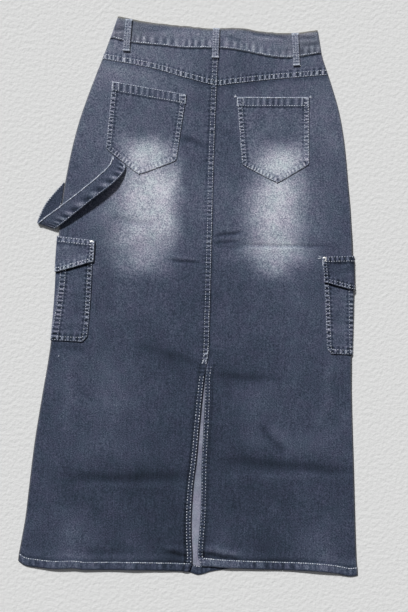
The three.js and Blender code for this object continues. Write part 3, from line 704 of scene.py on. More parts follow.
def shell(name, wide, tall, place, thickness, skins):
    """A sheet of cloth: a grid laid by `place` along its outer side, then given its thickness."""
    form = bmesh.new()
    bmesh.ops.create_grid(form, x_segments=wide, y_segments=tall, size=0.5)
    mesh = mesh_from(form, name)
    flat = np.empty(3 * len(mesh.vertices), np.float32)
    mesh.vertices.foreach_get("co", flat)
    x, y, z, *looks = place(flat[0::3].astype(float) + 0.5, flat[1::3].astype(float) + 0.5)
    mesh.vertices.foreach_set("co", metres(x, y, z).ravel())
    for look, value in zip(("wash", "rub"), looks):
        add_values(mesh, look, value * np.ones_like(x))
    mesh.update()
    highest = max(mesh.polygons, key=lambda face: face.center.z)
    if highest.normal.z < 0:
        mesh.flip_normals()
    piece = add_piece(name, mesh, skins)
    wall = piece.modifiers.new("cloth", "SOLIDIFY")
    wall.thickness = thickness / 1000
    wall.offset = -1
    wall.material_offset = 1 if len(skins) > 1 else 0
    return piece


def points_on(surface, p, q):
    """The points of a surface, as rows of x, y and z."""
    x, y, z = surface(p, q)[:3]
    return np.stack([x, y, z * np.ones_like(x)], axis=1)


def cut_area(place, wide, tall):
    """A sheet's area along its cloth, in square metres."""
    u, v = np.meshgrid(np.linspace(0, 1, wide), np.linspace(0, 1, tall))
    grid = points_on(place, u.ravel(), v.ravel()).reshape(tall, wide, 3)
    across = grid[:-1, 1:] - grid[:-1, :-1]
    along = grid[1:, :-1] - grid[:-1, :-1]
    return float(np.linalg.norm(np.cross(across, along), axis=2).sum()) / 1e6


def cloth(node, grid, place, thickness=CLOTH, skins=None, name=None,
          area_grid=(60, 60), solid=True):
    """A sheet of cloth. It stands for a node unless `solid` is false, and its skins are the outer one and
    the inner one: denim's face and its wrong side if nothing else is given."""
    piece = shell(name or f"{node}_cloth", *grid, place, thickness, skins or (face, reverse))
    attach(piece, "root")
    if solid:
        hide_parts(node)
    area = cut_area(place, *area_grid)


# Stitches are gathered for each piece of cloth and made as one mesh. Those whose middle is higher
# than this, in mm, lie on a side that faces up.
FACES_UP = 3


def add_stitches(stitches, surface, p, q, ahead, long, thick, nudge):
    """Adds one stitch at each place on a surface, laid along the direction given."""
    across = points_on(surface, p + nudge, q) - points_on(surface, p - nudge, q)
    along = points_on(surface, p, q + nudge) - points_on(surface, p, q - nudge)
    size = np.ones(len(p))
    stitches.append((points_on(surface, p, q), ahead, np.cross(across, along), long * size, thick * size))


def sew(stitches, surface, path, pitch, long, thick, nudge=0.5):
    """Sews a row along a path on a surface. The path is a list of the surface's own places."""
    corners = np.array(path, float)
    fine = np.linspace(0, len(corners) - 1, 40 * len(corners))
    p, q = (np.interp(fine, np.arange(len(corners)), corners[:, n]) for n in (0, 1))
    points = points_on(surface, p, q)
    run = np.concatenate([[0], np.cumsum(np.linalg.norm(np.diff(points, axis=0), axis=1))])
    count = max(int(run[-1] / pitch), 1)
    middle = (np.arange(count) + 0.5) * run[-1] / count
    start, end = (
        np.stack([np.interp(middle + step, run, points[:, n]) for n in range(3)], axis=1)
        for step in (-long / 2, long / 2)
    )
    p, q = (np.interp(middle, run, line) for line in (p, q))
    add_stitches(stitches, surface, p, q, end - start, long, thick, nudge)


def tack(stitches, surface, starts, ends, long, thick, nudge=0.5):
    """Adds single stitches, each from one place on a surface to another."""
    start_p, start_q = np.array(starts, float).T
    end_p, end_q = np.array(ends, float).T
    ahead = points_on(surface, end_p, end_q) - points_on(surface, start_p, start_q)
    add_stitches(
        stitches, surface, (start_p + end_p) / 2, (start_q + end_q) / 2, ahead, long, thick, nudge
    )


def bar_tack(stitches, surface, p, q, length, angle, width=2.4):
    """A short bar of crosswise stitches over a seam's end."""
    count = int(length / 0.75)
    turn = math.radians(angle)
    along = (np.arange(count) + 0.5) / count * length - length / 2
    middle = np.stack([p + along * math.cos(turn), q + along * math.sin(turn)], axis=1)
    half = 0.5 * width * np.array([-math.sin(turn), math.cos(turn)])
    tack(stitches, surface, middle - half, middle + half, width, 0.9)


def stitch_form():
    """One stitch: a small bead, drawn out along X when it is laid."""
    form = bmesh.new()
    bmesh.ops.create_uvsphere(form, u_segments=6, v_segments=4, radius=0.5)
    return mesh_from(form, "stitch")


def thread(name, stitches, skin):
    """All the stitches of one piece as a single joined mesh, each a little uneven."""
    bead = stitch_form()
    corners = np.array([vertex.co[:] for vertex in bead.vertices])
    faces = [tuple(face.vertices) for face in bead.polygons]
    bpy.data.meshes.remove(bead)
    middle, ahead, up, long, thick = (np.concatenate([row[n] for row in stitches]) for n in range(5))
    total = len(middle)
    rng = np.random.default_rng(total)
    long = long * rng.uniform(0.75, 1.1, total)
    thick = thick * rng.uniform(0.8, 1.1, total)
    sink = 0.10 + 0.40 * rng.random(total) ** 2 * thick
    ahead = ahead / np.linalg.norm(ahead, axis=1, keepdims=True)
    up = up / np.linalg.norm(up, axis=1, keepdims=True)
    up = np.where(((up[:, 2] < 0) & (middle[:, 2] > FACES_UP))[:, None], -up, up)
    side = np.cross(up, ahead)
    middle = middle + up * (thick * 0.4 - sink)[:, None] + side * rng.normal(0, 0.14, total)[:, None]
    laid = sum(
        corners[None, :, axis, None] * arm[:, None, :]
        for axis, arm in (
            (2, long[:, None] * ahead), (1, thick[:, None] * side), (0, 0.8 * thick[:, None] * up),
        )
    )
    places = (laid + middle[:, None, :]).reshape(-1, 3)
    places[:, 2] = np.maximum(places[:, 2], ON_FLOOR)
    count = len(corners)
    joined = [tuple(v + n * count for v in face) for n in range(total) for face in faces]
    mesh = bpy.data.meshes.new(name)
    mesh.from_pydata(metres(*places.T), [], joined)
    # Each stitch's paleness: painted light and shade from stitch to stitch.
    add_values(mesh, "wash", np.repeat(rng.uniform(-1, 1, total), count))
    piece = add_piece(name, mesh, (skin,))
    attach(piece, "root")


# Materials
def colour(code):
    """An sRGB hex colour as linear red, green, blue and alpha."""
    parts = [int(code[n : n + 2], 16) / 255 for n in (1, 3, 5)]
    return [c / 12.92 if c < 0.04045 else ((c + 0.055) / 1.055) ** 2.4 for c in parts] + [1.0]


def add_node(tree, kind, settings=None, links=None):
    """Adds a node, sets its fields and sockets, and links its inputs from sockets or from nodes,
    which give their first output."""
    node = tree.nodes.new("ShaderNode" + kind)
    for key, value in (settings or {}).items():
        if isinstance(key, int) or key in node.inputs:
            node.inputs[key].default_value = value
        else:
            setattr(node, key, value)
    for key, source in (links or {}).items():
        tree.links.new(source.outputs[0] if hasattr(source, "outputs") else source, node.inputs[key])
    return node


def new_material(name):
    """An empty material, its tree, and the place in the object that its patterns are laid by."""
    material = bpy.data.materials.new(name)
    material.use_nodes = True
    tree = material.node_tree
    tree.nodes.clear()
    return material, tree, add_node(tree, "TexCoord").outputs["Object"]


def attribute(tree, name):
    return add_node(tree, "Attribute", {"attribute_name": name}).outputs["Fac"]


def set_stops(ramp, stops):
    """Gives a colour ramp its stops, each a position and a colour."""
    elements = ramp.color_ramp.elements
    while len(elements) < len(stops):
        elements.new(0.5)
    for element, (position, code) in zip(elements, stops):
        element.position = position
        element.color = colour(code)


def finish_material(tree, shader, bump_height, bump_mm, strength):
    sizes = {"Strength": strength, "Distance": bump_mm / 1000}
    bump = add_node(tree, "Bump", sizes, {"Height": bump_height})
    tree.links.new(bump.outputs["Normal"], shader.inputs["Normal"])
    add_node(tree, "OutputMaterial", links={"Surface": shader})


# Patterns of the denim. Names ending in MM are sizes in mm, and the wale's slant is in degrees.
WALE_MM = 1.1
SLUB_MM = 2.2
SLUB_LONG_MM = 42
GRAIN_MM = 1.9
HUE_MM = 26
CLOUDS_PER_METRE = 34.0
WALE_SLANT = 63
GRAIN_DEPTH = 2.001
HUES = ((0.36, "#f6fffc"), (0.64, "#fff9fd"))
RUBBED = "#77746a"


def denim(name, stops, contrast=1.0):
    """Cotton denim, 3/1 twill: dark warp over pale weft, so it shows fine slanted wales, long slubs
    along the warp, and a salt-and-pepper grain where its wear has made it pale. Its wale is drawn at
    1.1 mm, about half as coarse again as the real one, so that it shows."""
    material, tree, place = new_material(name)
    # The cloth's paleness: its wear, with its painted shade and painted shadows.
    lightness = attribute(tree, "wash")
    drawn_out = {"Scale": (1000 / SLUB_MM, 1000 / SLUB_LONG_MM, 1)}
    along_warp = add_node(tree, "Mapping", drawn_out, {"Vector": place})
    slanted = add_node(tree, "Mapping", {"Rotation": (0, 0, math.radians(WALE_SLANT))}, {"Vector": place})
    slub = add_node(tree, "TexNoise", {"Scale": 1.0, "Detail": 2.0}, {"Vector": along_warp})
    fine = {"Scale": 1000 / GRAIN_MM, "Detail": 3.0, "Roughness": 0.7}
    grain = add_node(tree, "TexNoise", fine, {"Vector": place})
    cloud = add_node(tree, "TexNoise", {"Scale": CLOUDS_PER_METRE, "Detail": 3.0}, {"Vector": place})
    lines = {"Scale": 1000 / WALE_MM / 20 * math.pi, "Distortion": 1.2, "Detail": 1.0, "Detail Scale": 2.0}
    wale = add_node(tree, "TexWave", lines, {"Vector": slanted})

    def centred(source):
        return add_node(tree, "Math", {"operation": "SUBTRACT", 1: 0.5}, {0: source.outputs["Fac"]})

    def add_share(source, share, total):
        return add_node(tree, "Math", {"operation": "MULTIPLY_ADD", 1: share}, {0: source, 2: total})

    total = lightness
    for source, share in ((slub, 0.10), (cloud, 0.05), (wale, 0.05)):
        total = add_share(centred(source), share * contrast, total)
    peppered = add_node(tree, "Math", {"operation": "MULTIPLY"}, {0: centred(grain), 1: lightness})
    total = add_share(peppered, GRAIN_DEPTH * contrast, total)
    ramp = add_node(tree, "ValToRGB", links={"Fac": total})
    set_stops(ramp, stops)
    broad = {"Scale": 1000 / HUE_MM, "Detail": 4.0, "Roughness": 0.75}
    hue = add_node(tree, "TexNoise", broad, {"Vector": place})
    tint = add_node(tree, "ValToRGB", links={"Fac": hue})
    set_stops(tint, HUES)
    tinted = add_node(tree, "Mix", {"data_type": "RGBA", "blend_type": "MULTIPLY", "Factor": 1.0})
    tree.links.new(ramp.outputs["Color"], tinted.inputs["A"])
    tree.links.new(tint.outputs["Color"], tinted.inputs["B"])
    rub = attribute(tree, "rub")
    edged = add_node(tree, "Mix", {"data_type": "RGBA", "blend_type": "MIX"}, {"Factor": rub})
    tree.links.new(tinted.outputs["Result"], edged.inputs["A"])
    edged.inputs["B"].default_value = colour(RUBBED)
    matt = {"Roughness": 0.92, "Specular IOR Level": 0.14, "Sheen Weight": 0.06, "Sheen Roughness": 0.5}
    shader = add_node(tree, "BsdfPrincipled", matt, {"Base Color": edged.outputs["Result"]})
    both = {0: wale.outputs["Fac"], 1: grain.outputs["Fac"]}
    relief = add_node(tree, "Math", {"operation": "ADD"}, both)
    finish_material(tree, shader, relief, 0.22, 0.6)
    return material


# The face's wash from unwashed charcoal to sanded white, and the wrong side's pale weft
FACE_STOPS = (
    (0.08, "#0e131c"),
    (0.20, "#2c3443"),
    (0.25, "#384051"),
    (0.29, "#434a5e"),
    (0.36, "#565d70"),
    (0.42, "#686e81"),
    (0.55, "#8e92a2"),
    (0.66, "#abaebc"),
    (0.85, "#dcdfe6"),
)
REVERSE_STOPS = (
    (0.0, "#474a5c"),
    (0.2, "#7d8091"),
    (0.3, "#989aab"),
    (0.5, "#bfc0cc"),
)


def thread_material():
    """Spun polyester topstitching thread, washed pale: matt, with a slight change from stitch to
    stitch where it lies in or out of the light."""
    material, tree, place = new_material("polyester_thread")
    lightness = attribute(tree, "wash")
    share = add_node(tree, "MapRange", {"From Min": -1.0, "From Max": 1.0}, {"Value": lightness})
    ramp = add_node(tree, "ValToRGB", links={"Fac": share})
    set_stops(ramp, ((0.0, "#949fb2"), (1.0, "#e9eef8")))
    twist = add_node(tree, "TexNoise", {"Scale": 2500.0, "Detail": 1.0}, {"Vector": place})
    spun = {"Roughness": 0.7, "Specular IOR Level": 0.3, "Sheen Weight": 0.1}
    shader = add_node(tree, "BsdfPrincipled", spun, {"Base Color": ramp})
    finish_material(tree, shader, twist, 0.08, 0.5)
    return material


def steel_material():
    """Nickel-plated steel, tumbled: bright, finely pitted and a little uneven in its gloss."""
    material, tree, place = new_material("nickel_plated_steel")
    pits = add_node(tree, "TexNoise", {"Scale": 1400.0, "Detail": 3.0}, {"Vector": place})
    gloss = add_node(tree, "MapRange", {"To Min": 0.45, "To Max": 0.75}, {"Value": pits})
    metal = {"Base Color": colour("#ececea"), "Metallic": 1.0}
    shader = add_node(tree, "BsdfPrincipled", metal, {"Roughness": gloss})
    finish_material(tree, shader, pits, 0.1, 0.5)
    return material


def floor_material():
    """Plain matt paint on plaster: off-white and very slightly uneven."""
    material, tree, place = new_material("matt_plaster")
    lumps = add_node(tree, "TexNoise", {"Scale": 150.0, "Detail": 4.0}, {"Vector": place})
    shader = add_node(tree, "BsdfPrincipled", {"Base Color": colour("#e6e6e5"), "Roughness": 0.95})
    finish_material(tree, shader, lumps, 2.0, 0.7)
    return material


face = denim("washed_denim", FACE_STOPS)
reverse = denim("denim_wrong_side", REVERSE_STOPS, contrast=0.8)
cotton = thread_material()
steel = steel_material()

# Body
def body_place(side, part):
    surface = body_surface(side, part)

    def place(u, v):
        across = u if side == "left" else 1 - u
        x = np.zeros_like(u)
        y = np.zeros_like(u)
        for _ in range(STEPS_TO_SETTLE):
            x = mix(side_line(side, y), centre_line(side, y), across)
            if part == "panel":
                y = mix(hem_line(side, x), yoke_line(x), v)
            else:
                y = mix(yoke_line(x) + GAP, waist_line(x) - GAP, v)
        return surface(x, y)

    return place


def make_body():
    for side in ("left", "right"):
        for part, node, grid in (("panel", f"back_{side}", (98, 410)), ("yoke", f"yoke_{side}", (150, 52))):
            cloth(node, grid, body_place(side, part))


def front_place(u, v):
    x = np.zeros_like(u)
    y = np.zeros_like(u)
    for _ in range(STEPS_TO_SETTLE):
        x = mix(side_line("left", y) + GAP, side_line("right", y) - GAP, u)
        y = mix(hem_line("front", x), waist_line(x) - GAP, v)
    tone = 0.262 + 0.03 * mottle(x, y, 30, 92) + 0.04 * mottle(x, y, 9, 93)
    return x, y, front_bottom(x, y) + CLOTH, tone


def front_hem_surface(x, y):
    """The front's hem, turned up inside, shows its right side at the foot of the slit."""
    inward = y - hem_line("front", x)
    rise, change = hemmed(inward, x, 91)
    z = front_bottom(x, y) + CLOTH + 0.15 + HEM_CLOTH + 0.2 * rise
    return x, y, z, 0.185 + change


FRONT_HEM_SHOWS = (-40.0, 150.0)


def front_hem_place(u, v):
    x = mix(FRONT_HEM_SHOWS[0], FRONT_HEM_SHOWS[1], u)
    return front_hem_surface(x, hem_line("front", x) + HEM_HEIGHT * v)


def make_front():
    cloth("front_panel", (120, 180), front_place, CLOTH, (reverse, face), "front_cloth")
    cloth("front_hem", (120, 14), front_hem_place, HEM_CLOTH, (face,), solid=False)
    xs = np.linspace(FRONT_HEM_SHOWS[0] + 1, FRONT_HEM_SHOWS[1] - 1, 20)
    row = [(x, hem_line("front", x) + HEM_ROW) for x in xs]
    stitches = []
    sew(stitches, front_hem_surface, row, 4.2, 3.0, 1.2)
    return stitches


# Waistband
UV_NUDGE = 0.004
BAND_PARTS = (0.0, 0.27, 0.29, 0.71, 0.73, 1.0)


def band_place(u, h):
    """The band's outer side: along the front's left, round the side, along the back, and back."""
    left_bend, back, right_bend, front = BAND_PARTS[1:5]
    low_left = side_line("left", 446) + BEND_RADIUS
    low_right = side_line("right", 438) - BEND_RADIUS
    top_left = side_line("left", 484) + BEND_RADIUS
    top_right = side_line("right", 478) - BEND_RADIUS
    left = mix(low_left, top_left, h)
    right = mix(low_right, top_right, h)
    to_lap, to_left, to_right, angle = (
        np.interp(u, BAND_PARTS, ends)
        for ends in (
            (1, 0, 0, 0, 0, -1), (0, 1, 1, 0, 0, 0), (0, 0, 0, 1, 1, 0), (-90, -90, 90, 90, -90, -90),
        )
    )
    flat_x = LAP_HALF * to_lap + left * to_left + right * to_right
    angle = np.radians(angle)
    low_y = waist_line(flat_x)
    top_y = read(WAIST_TOP, "x", "y", flat_x) + 0.5 * wander(flat_x, 8, 85)
    y = mix(low_y, top_y, h)
    tall = top_y - low_y
    on_back = (u >= back) & (u <= right_bend)
    sense = np.where(u < 0.5, -1.0, 1.0)
    x = flat_x + sense * BEND_RADIUS * np.cos(angle)
    z = BEND_RADIUS * (1 + np.sin(angle))
    lap = lap_share(flat_x)
    z = z + lap * np.select([u < left_bend, on_back | (u > front)], [BUTTON_ROOM, LAP_RISE], 0)
    up = np.where(on_back, 1.0, np.where((u < left_bend) | (u > front), -1.0, 0.0))
    rise_mm = h * tall
    wave = pucker(flat_x, 12.5, 81)
    drawn = window(rise_mm, 1.5, 4, 9, 19)
    rolled = 0.5 * (hump(rise_mm, 0, 1.0) + hump(rise_mm, tall, 1.2))
    dented = fold_height(BAND_CREASES, flat_x, y) * (up > 0)
    relief = 0.34 * wave * drawn - rolled - 0.3 * hump(rise_mm, 2.4, 0.9) + dented
    relief += 0.16 * mottle(flat_x, y, 16, 82)
    aside = smooth(95, 150, np.abs(flat_x))
    tone = 0.44 + 0.024 * mottle(flat_x, y, 22, 83)
    tone += (0.020 + 0.05 * aside) * mottle(flat_x, 5 * y, 40, 84)
    # Puckers wear pale and dark by turns, with painted shade in the stitch row's groove.
    tone += 0.65 * ladder(wave) * drawn - 0.05 * hump(rise_mm, 2.4, 0.9)
    tone += 0.08 * hump(tall - rise_mm, 0.8, 1.4) + 0.12 * hump(rise_mm, 0.6, 0.9)
    # Crease ridges wear paler and their troughs are painted shade; the leaves that face down are darker.
    tone += 0.16 * dented - 0.05 * (up < 0)
    z = z + up * np.maximum(relief, -0.6)
    rubbed = 0.85 * hump(tall - rise_mm, 0, 3.2) + 0.12 * aside
    return x, y, np.where(up > 0, z, np.maximum(z, 0.0)), tone, rubbed


def make_waistband():
    cloth(
        "waistband", (520, 24), band_place,
        thickness=FOLDED_CLOTH, skins=(face,), area_grid=(300, 10),
    )
    stitches = []
    for low, high in ((0.005, 0.268), (0.292, 0.708), (0.732, 0.995)):
        path = [(u, 0.065) for u in np.linspace(low, high, 40)]
        sew(stitches, band_place, path, 4.0, 3.6, 1.9, UV_NUDGE)
    return stitches


# Back pockets
def inset_corners(outline, distance):
    """A convex outline moved in by a distance, corner by corner."""
    moved = []
    count = len(outline)
    for n in range(count):
        before = np.array(outline[n - 1])
        here = np.array(outline[n])
        after = np.array(outline[(n + 1) % count])
        first = (here - before) / np.linalg.norm(here - before)
        second = (after - here) / np.linalg.norm(after - here)
        normal_a = np.array([-first[1], first[0]])
        normal_b = np.array([-second[1], second[0]])
        split = normal_a + normal_b
        moved.append(tuple(here + split * distance / (1 + normal_a @ normal_b)))
    return moved


def edge_distances(outline, x, y):
    """Distance in from each edge of a convex outline, and the place along it."""
    found = []
    for n, start in enumerate(outline):
        end = outline[(n + 1) % len(outline)]
        length = math.hypot(end[0] - start[0], end[1] - start[1])
        ux = (end[0] - start[0]) / length
        uy = (end[1] - start[1]) / length
        inward = (y - start[1]) * ux - (x - start[0]) * uy
        along = (x - start[0]) * ux + (y - start[1]) * uy
        found.append((inward, along))
    return found


def pocket_outline(side):
    """Anticlockwise from the top left: down the left side, round the foot and up the right."""
    order = ("top_left", "low_left", "foot", "low_right", "top_right")
    return [BACK_POCKETS[side][name] for name in order]


def pocket_surface(side):
    outline = pocket_outline(side)

    def surface(x, y):
        edges = edge_distances(outline, x, y)
        nearest = np.minimum.reduce([edge[0] for edge in edges])
        top = edges[4][0]
        z = back_lie(x, y) + PLY + POCKET_PUFF * smooth(0, 45, nearest)
        tone = 0.358 + 0.022 * mottle(x, y, 34, 31) + 0.016 * mottle(x, y, 12, 32)
        tone += sanded(POCKET_FADES, x, y)
        height, change = felled(top, x, POCKET_HEM, HEM_RISE, 10.0, 105, 0.6)
        height = np.maximum(height, 0)
        tone += change + 0.05 * hump(top, 0.6, 1.0)
        for n, (inward, along) in enumerate(edges[:4]):
            near = 1 - smooth(0.0, 3.0, inward - nearest)
            rise, change = felled(inward, along, 9.5, 0.45, 7.0, 100 + n, 1.15)
            height = np.maximum(height, rise * near)
            tone += change * near
        return x, y, z + height - EDGE_DROP * (1 - smooth(0, 2, nearest)), tone

    return surface


def pocket_place(side):
    surface = pocket_surface(side)
    corners = BACK_POCKETS[side]
    low_xs, low_ys = zip(*(corners[name] for name in ("low_left", "foot", "low_right")))
    high_xs, high_ys = zip(*(corners[name] for name in ("top_left", "top_right")))

    def place(u, v):
        round_foot = 2.4 * hump(u, 0.5, 0.045) + 2.0 * hump(u, 0, 0.03) + 2.0 * hump(u, 1, 0.03)
        low_y = np.interp(u, (0, 0.5, 1), low_ys) + round_foot
        x = mix(np.interp(u, (0, 0.5, 1), low_xs), mix(*high_xs, u), v)
        return surface(x, mix(low_y, mix(*high_ys, u), v))

    return place


def make_pocket(side):
    surface = pocket_surface(side)
    cloth(f"back_pocket_{side}", (126, 144), pocket_place(side))
    stitches = []
    outline = pocket_outline(side)
    for inset, row in ((ROW_IN, EDGE_ROW), (8.0, FINE_ROW)):
        sew(stitches, surface, inset_corners(outline, inset), *row)
    high = inset_corners(outline, ROW_IN)
    slope = (high[4][1] - high[0][1]) / (high[4][0] - high[0][0])
    for inset in (ROW_IN, POCKET_HEM - 1.6):
        start_x, start_y = inset_corners(outline, inset)[0]
        row = [(x, start_y + (x - start_x) * slope) for x in (high[0][0], high[4][0])]
        bold = side == "right" and inset == ROW_IN
        sew(stitches, surface, row, *((3.6, 3.9, 1.8) if bold else (4.2, 3.4, 1.3)))
    if side == "right":
        starts, ends = [], []
        for corner, way in ((outline[0], -1), (outline[4], 1)):
            for rise, reach in ((3.0, 2.5), (-1.5, 4.5), (1.0, 5.0)):
                starts.append(corner)
                ends.append((corner[0] + way * reach, corner[1] + rise))
        tack(stitches, body_surface(side, "panel"), starts, ends, 5.0, 1.2)
    for corner, way in ((outline[0], 1), (outline[4], -1)):
        for inset, drop, length, angle, width in (
            (7.5, 2.4, 12.0, 0, 2.4), (2.0, 9.5, 14.0, 90, 2.4), (12.0, 9.5, 12.0, 90, 1.4),
        ):
            bar_tack(stitches, surface, corner[0] + way * inset, corner[1] - drop, length, angle, width)
    return stitches


# Belt loops
def loop_place(name):
    low, high = BELT_LOOPS[name]

    def place(u, v):
        across = (u - 0.5) * LOOP_WIDTH
        slant = (high[0] - low[0]) / (high[1] - low[1])
        x = mix(low[0], high[0], v)
        y = mix(low[1], high[1], v)
        band_low = waist_line(x)
        on_yoke = back_lie(x, y) + LOOP_OFF_YOKE
        on_band = BAND_BACK_BOTTOM + LAP_RISE * lap_share(x) + FOLDED_CLOTH + GAP
        climb = smooth(-7, -1.0, y - band_low)
        free = np.maximum((v - LOOP_FREE) / (1 - LOOP_FREE), 0)
        bottom = np.maximum(mix(on_yoke, on_band + LOOP_OFF_BAND, climb), on_yoke)
        bottom = bottom + LOOP_PUFF * np.sin(math.pi * free)
        edge = LOOP_WIDTH / 2 - np.abs(across)
        wave = pucker(y, 5.0, 120 + len(name))
        z = bottom + STRAP_CLOTH - EDGE_DROP * (1 - smooth(0, 1.5, edge)) + 0.12 * wave
        tone = 0.46 + 0.11 * wave + 0.06 * mottle(across, y, 2.6, 121) + 0.10 * hump(edge, 0.4, 0.8)
        return x + across, y - across * slant, z, tone

    return place


def make_loop(name):
    place = loop_place(name)
    cloth(f"belt_loop_{name}", (12, 44), place, thickness=STRAP_CLOTH, skins=(face,))
    stitches = []
    for u in (0.17, 0.83):
        sew(stitches, place, [(u, v) for v in np.linspace(0.03, 0.97, 16)], 3.8, 2.4, 1.2, UV_NUDGE)
    zigzag = np.array([(0.34 + 0.32 * (n % 2), v) for n, v in enumerate(np.linspace(0.05, 0.95, 20))])
    tack(stitches, place, zigzag[:-1], zigzag[1:], 3.4, 0.9, UV_NUDGE)
    for v in (0.035, 0.965):
        ends = [np.array([(0.02 + 0.087 * n, v + lean) for n in range(12)]) for lean in (-0.03, 0.03)]
        tack(stitches, place, *ends, 3.2, 1.2, UV_NUDGE)
    return stitches


# Cargo pockets and flaps. Their places are a distance in from the side line and a height y.
def squarer(swing):
    """A sine or cosine that turns a circle into a slightly squarer bend."""
    return np.sign(swing) * np.abs(swing) ** 0.8


def wrap_surface(side, clear_of, thickness_over, floor_of):
    """Cloth wrapped round a side seam: over the back, round the edge and under the front."""
    sense = 1.0 if side == "left" else -1.0

    def surface(inward, y):
        line = side_line(side, y)
        over_x = line + sense * np.maximum(inward, ROUND_OFF)
        top = back_lie(over_x, y) + clear_of(inward, y) + CLOTH
        bottom = floor_of(line, y)
        turn = np.clip((ROUND_OFF - inward) / (2 * ROUND_OFF), 0, 1)
        angle = math.pi * (0.5 - turn)
        reach = ROUND_OFF + GAP + thickness_over
        round_x = line + sense * (ROUND_OFF - reach * squarer(np.cos(angle)))
        round_z = (top + bottom) / 2 + (top - bottom) / 2 * squarer(np.sin(angle))
        under_x = line - sense * inward
        x = np.where(inward >= ROUND_OFF, over_x, np.where(inward <= -ROUND_OFF, under_x, round_x))
        z = np.where(inward >= ROUND_OFF, top, np.where(inward <= -ROUND_OFF, floor_of(under_x, y), round_z))
        return x, y, z

    return surface


def cargo_surface(side):
    cargo = CARGO[side]
    wrapped = wrap_surface(
        side,
        lambda inward, y: GAP + 0.25,
        CLOTH,
        lambda x, y: lift_under(x, y, "flap", 13, 16),
    )

    def surface(inward, y):
        x, y, z = wrapped(inward, y)
        over = cargo_over(side, y)
        edge = over - inward
        low = y - cargo["bottom"]
        nearest = np.minimum(edge, low)
        on_back = smooth(-ROUND_OFF, ROUND_OFF, inward)
        off = inward - cargo_middle(side, y)
        relief, change = sewn(
            (edge, y, 9.0, 0.45, 8.0, 131, 1.5),
            (low, inward, 9.5, 0.5, 9.0, 134, 1.0),
            (off + 5.5, y, 11.0, 0.55, 7.5, 137, 1.4),
        )
        relief += 0.25 * mottle(x, y, 18, 138)
        relief += 0.5 * smooth(0, 25, nearest)
        drawn = mottle(0.25 * x, y, 8, 140)
        relief += 0.3 * drawn
        base = 0.312 if side == "left" else 0.325
        tone = base + 0.02 * mottle(x, y, 20, 139) + 0.016 * drawn + change
        under_flap = flap_low(cargo, inward) - y
        # Paler along the pocket's middle band, and a painted shadow under the flap's lower edge.
        tone += 0.03 * hump(off, 0, 14) - 0.15 * hump(under_flap, 1.0, 2.6) * smooth(-2, 0, under_flap)
        return x, y, z + on_back * relief, tone

    return surface


def cargo_share(side, y):
    """How far up a cargo pocket a height lies, from 0 at its foot to 1 at its top."""
    cargo = CARGO[side]
    return (y - cargo["bottom"]) / (cargo["top"] - cargo["bottom"])


def cargo_middle(side, y):
    """The middle of the band down a cargo pocket."""
    return mix(CARGO[side]["band_bottom"], CARGO[side]["band_top"], cargo_share(side, y))


def cargo_over(side, y):
    cargo = CARGO[side]
    corner = CARGO_CORNER * (1 - smooth(0, CARGO_CORNER, y - cargo["bottom"])) * 0.6
    return mix(cargo["over_low"], cargo["over"], cargo_share(side, y)) - corner


def cargo_place(side):
    cargo = CARGO[side]
    surface = cargo_surface(side)

    def place(u, v):
        y = mix(cargo["bottom"], cargo["top"], v)
        return surface(mix(cargo_over(side, y), -cargo["under"], u), y)

    return place


def flap_surface(side):
    cargo = CARGO[side]
    wrapped = wrap_surface(
        side,
        lambda inward, y: GAP + 0.35 + (PLY + 0.9) * (1 - smooth(cargo["top"] + 1, cargo["top"] + 7, y)),
        CLOTH + PLY,
        lambda x, y: 0 * x,
    )

    def surface(inward, y):
        x, y, z = wrapped(inward, y)
        edge = flap_over(cargo, y) - inward
        low = y - flap_low(cargo, inward)
        top = flap_high(cargo, inward) - y
        on_back = smooth(-ROUND_OFF, ROUND_OFF, inward)
        strength = 1.8 if side == "left" else 1.3
        relief, change = sewn(
            (edge, y, 8.0, 0.4, 7.0, 141, strength),
            (low, inward, 8.0, 0.45, 7.0, 144, strength),
            (top, inward, 11.0, 0.5, 8.0, 147, 1.0),
        )
        relief += 0.2 * mottle(x, y, 14, 148)
        drawn = mottle(0.3 * x, y + 0.3 * inward, 8, 150)
        relief += 1.9 * hump(low, 0, 15) * smooth(0, 16, edge) + 0.35 * drawn
        base = 0.36 if side == "left" else 0.275
        tone = base + 0.02 * mottle(x, y, 18, 149) + 0.032 * drawn + change
        tone += (0.09 if side == "left" else 0.04) * hump(low, 4, 10)
        return x, y, z + on_back * relief, tone

    return surface


def flap_over(cargo, y):
    share = np.clip((y - cargo["flap_side"]) / (cargo["flap_top_over"] - cargo["flap_side"]), 0, 1)
    return mix(cargo["flap_over_low"], cargo["over"], share) + FLAP_MARGIN


def flap_place(side):
    cargo = CARGO[side]
    surface = flap_surface(side)

    def place(u, v):
        over = mix(cargo["flap_over_low"], cargo["over"], v) + FLAP_MARGIN
        inward = mix(over, -cargo["under"] - FLAP_MARGIN, u)
        y = mix(flap_low(cargo, inward), flap_high(cargo, inward), v)
        return surface(inward, y)

    return place


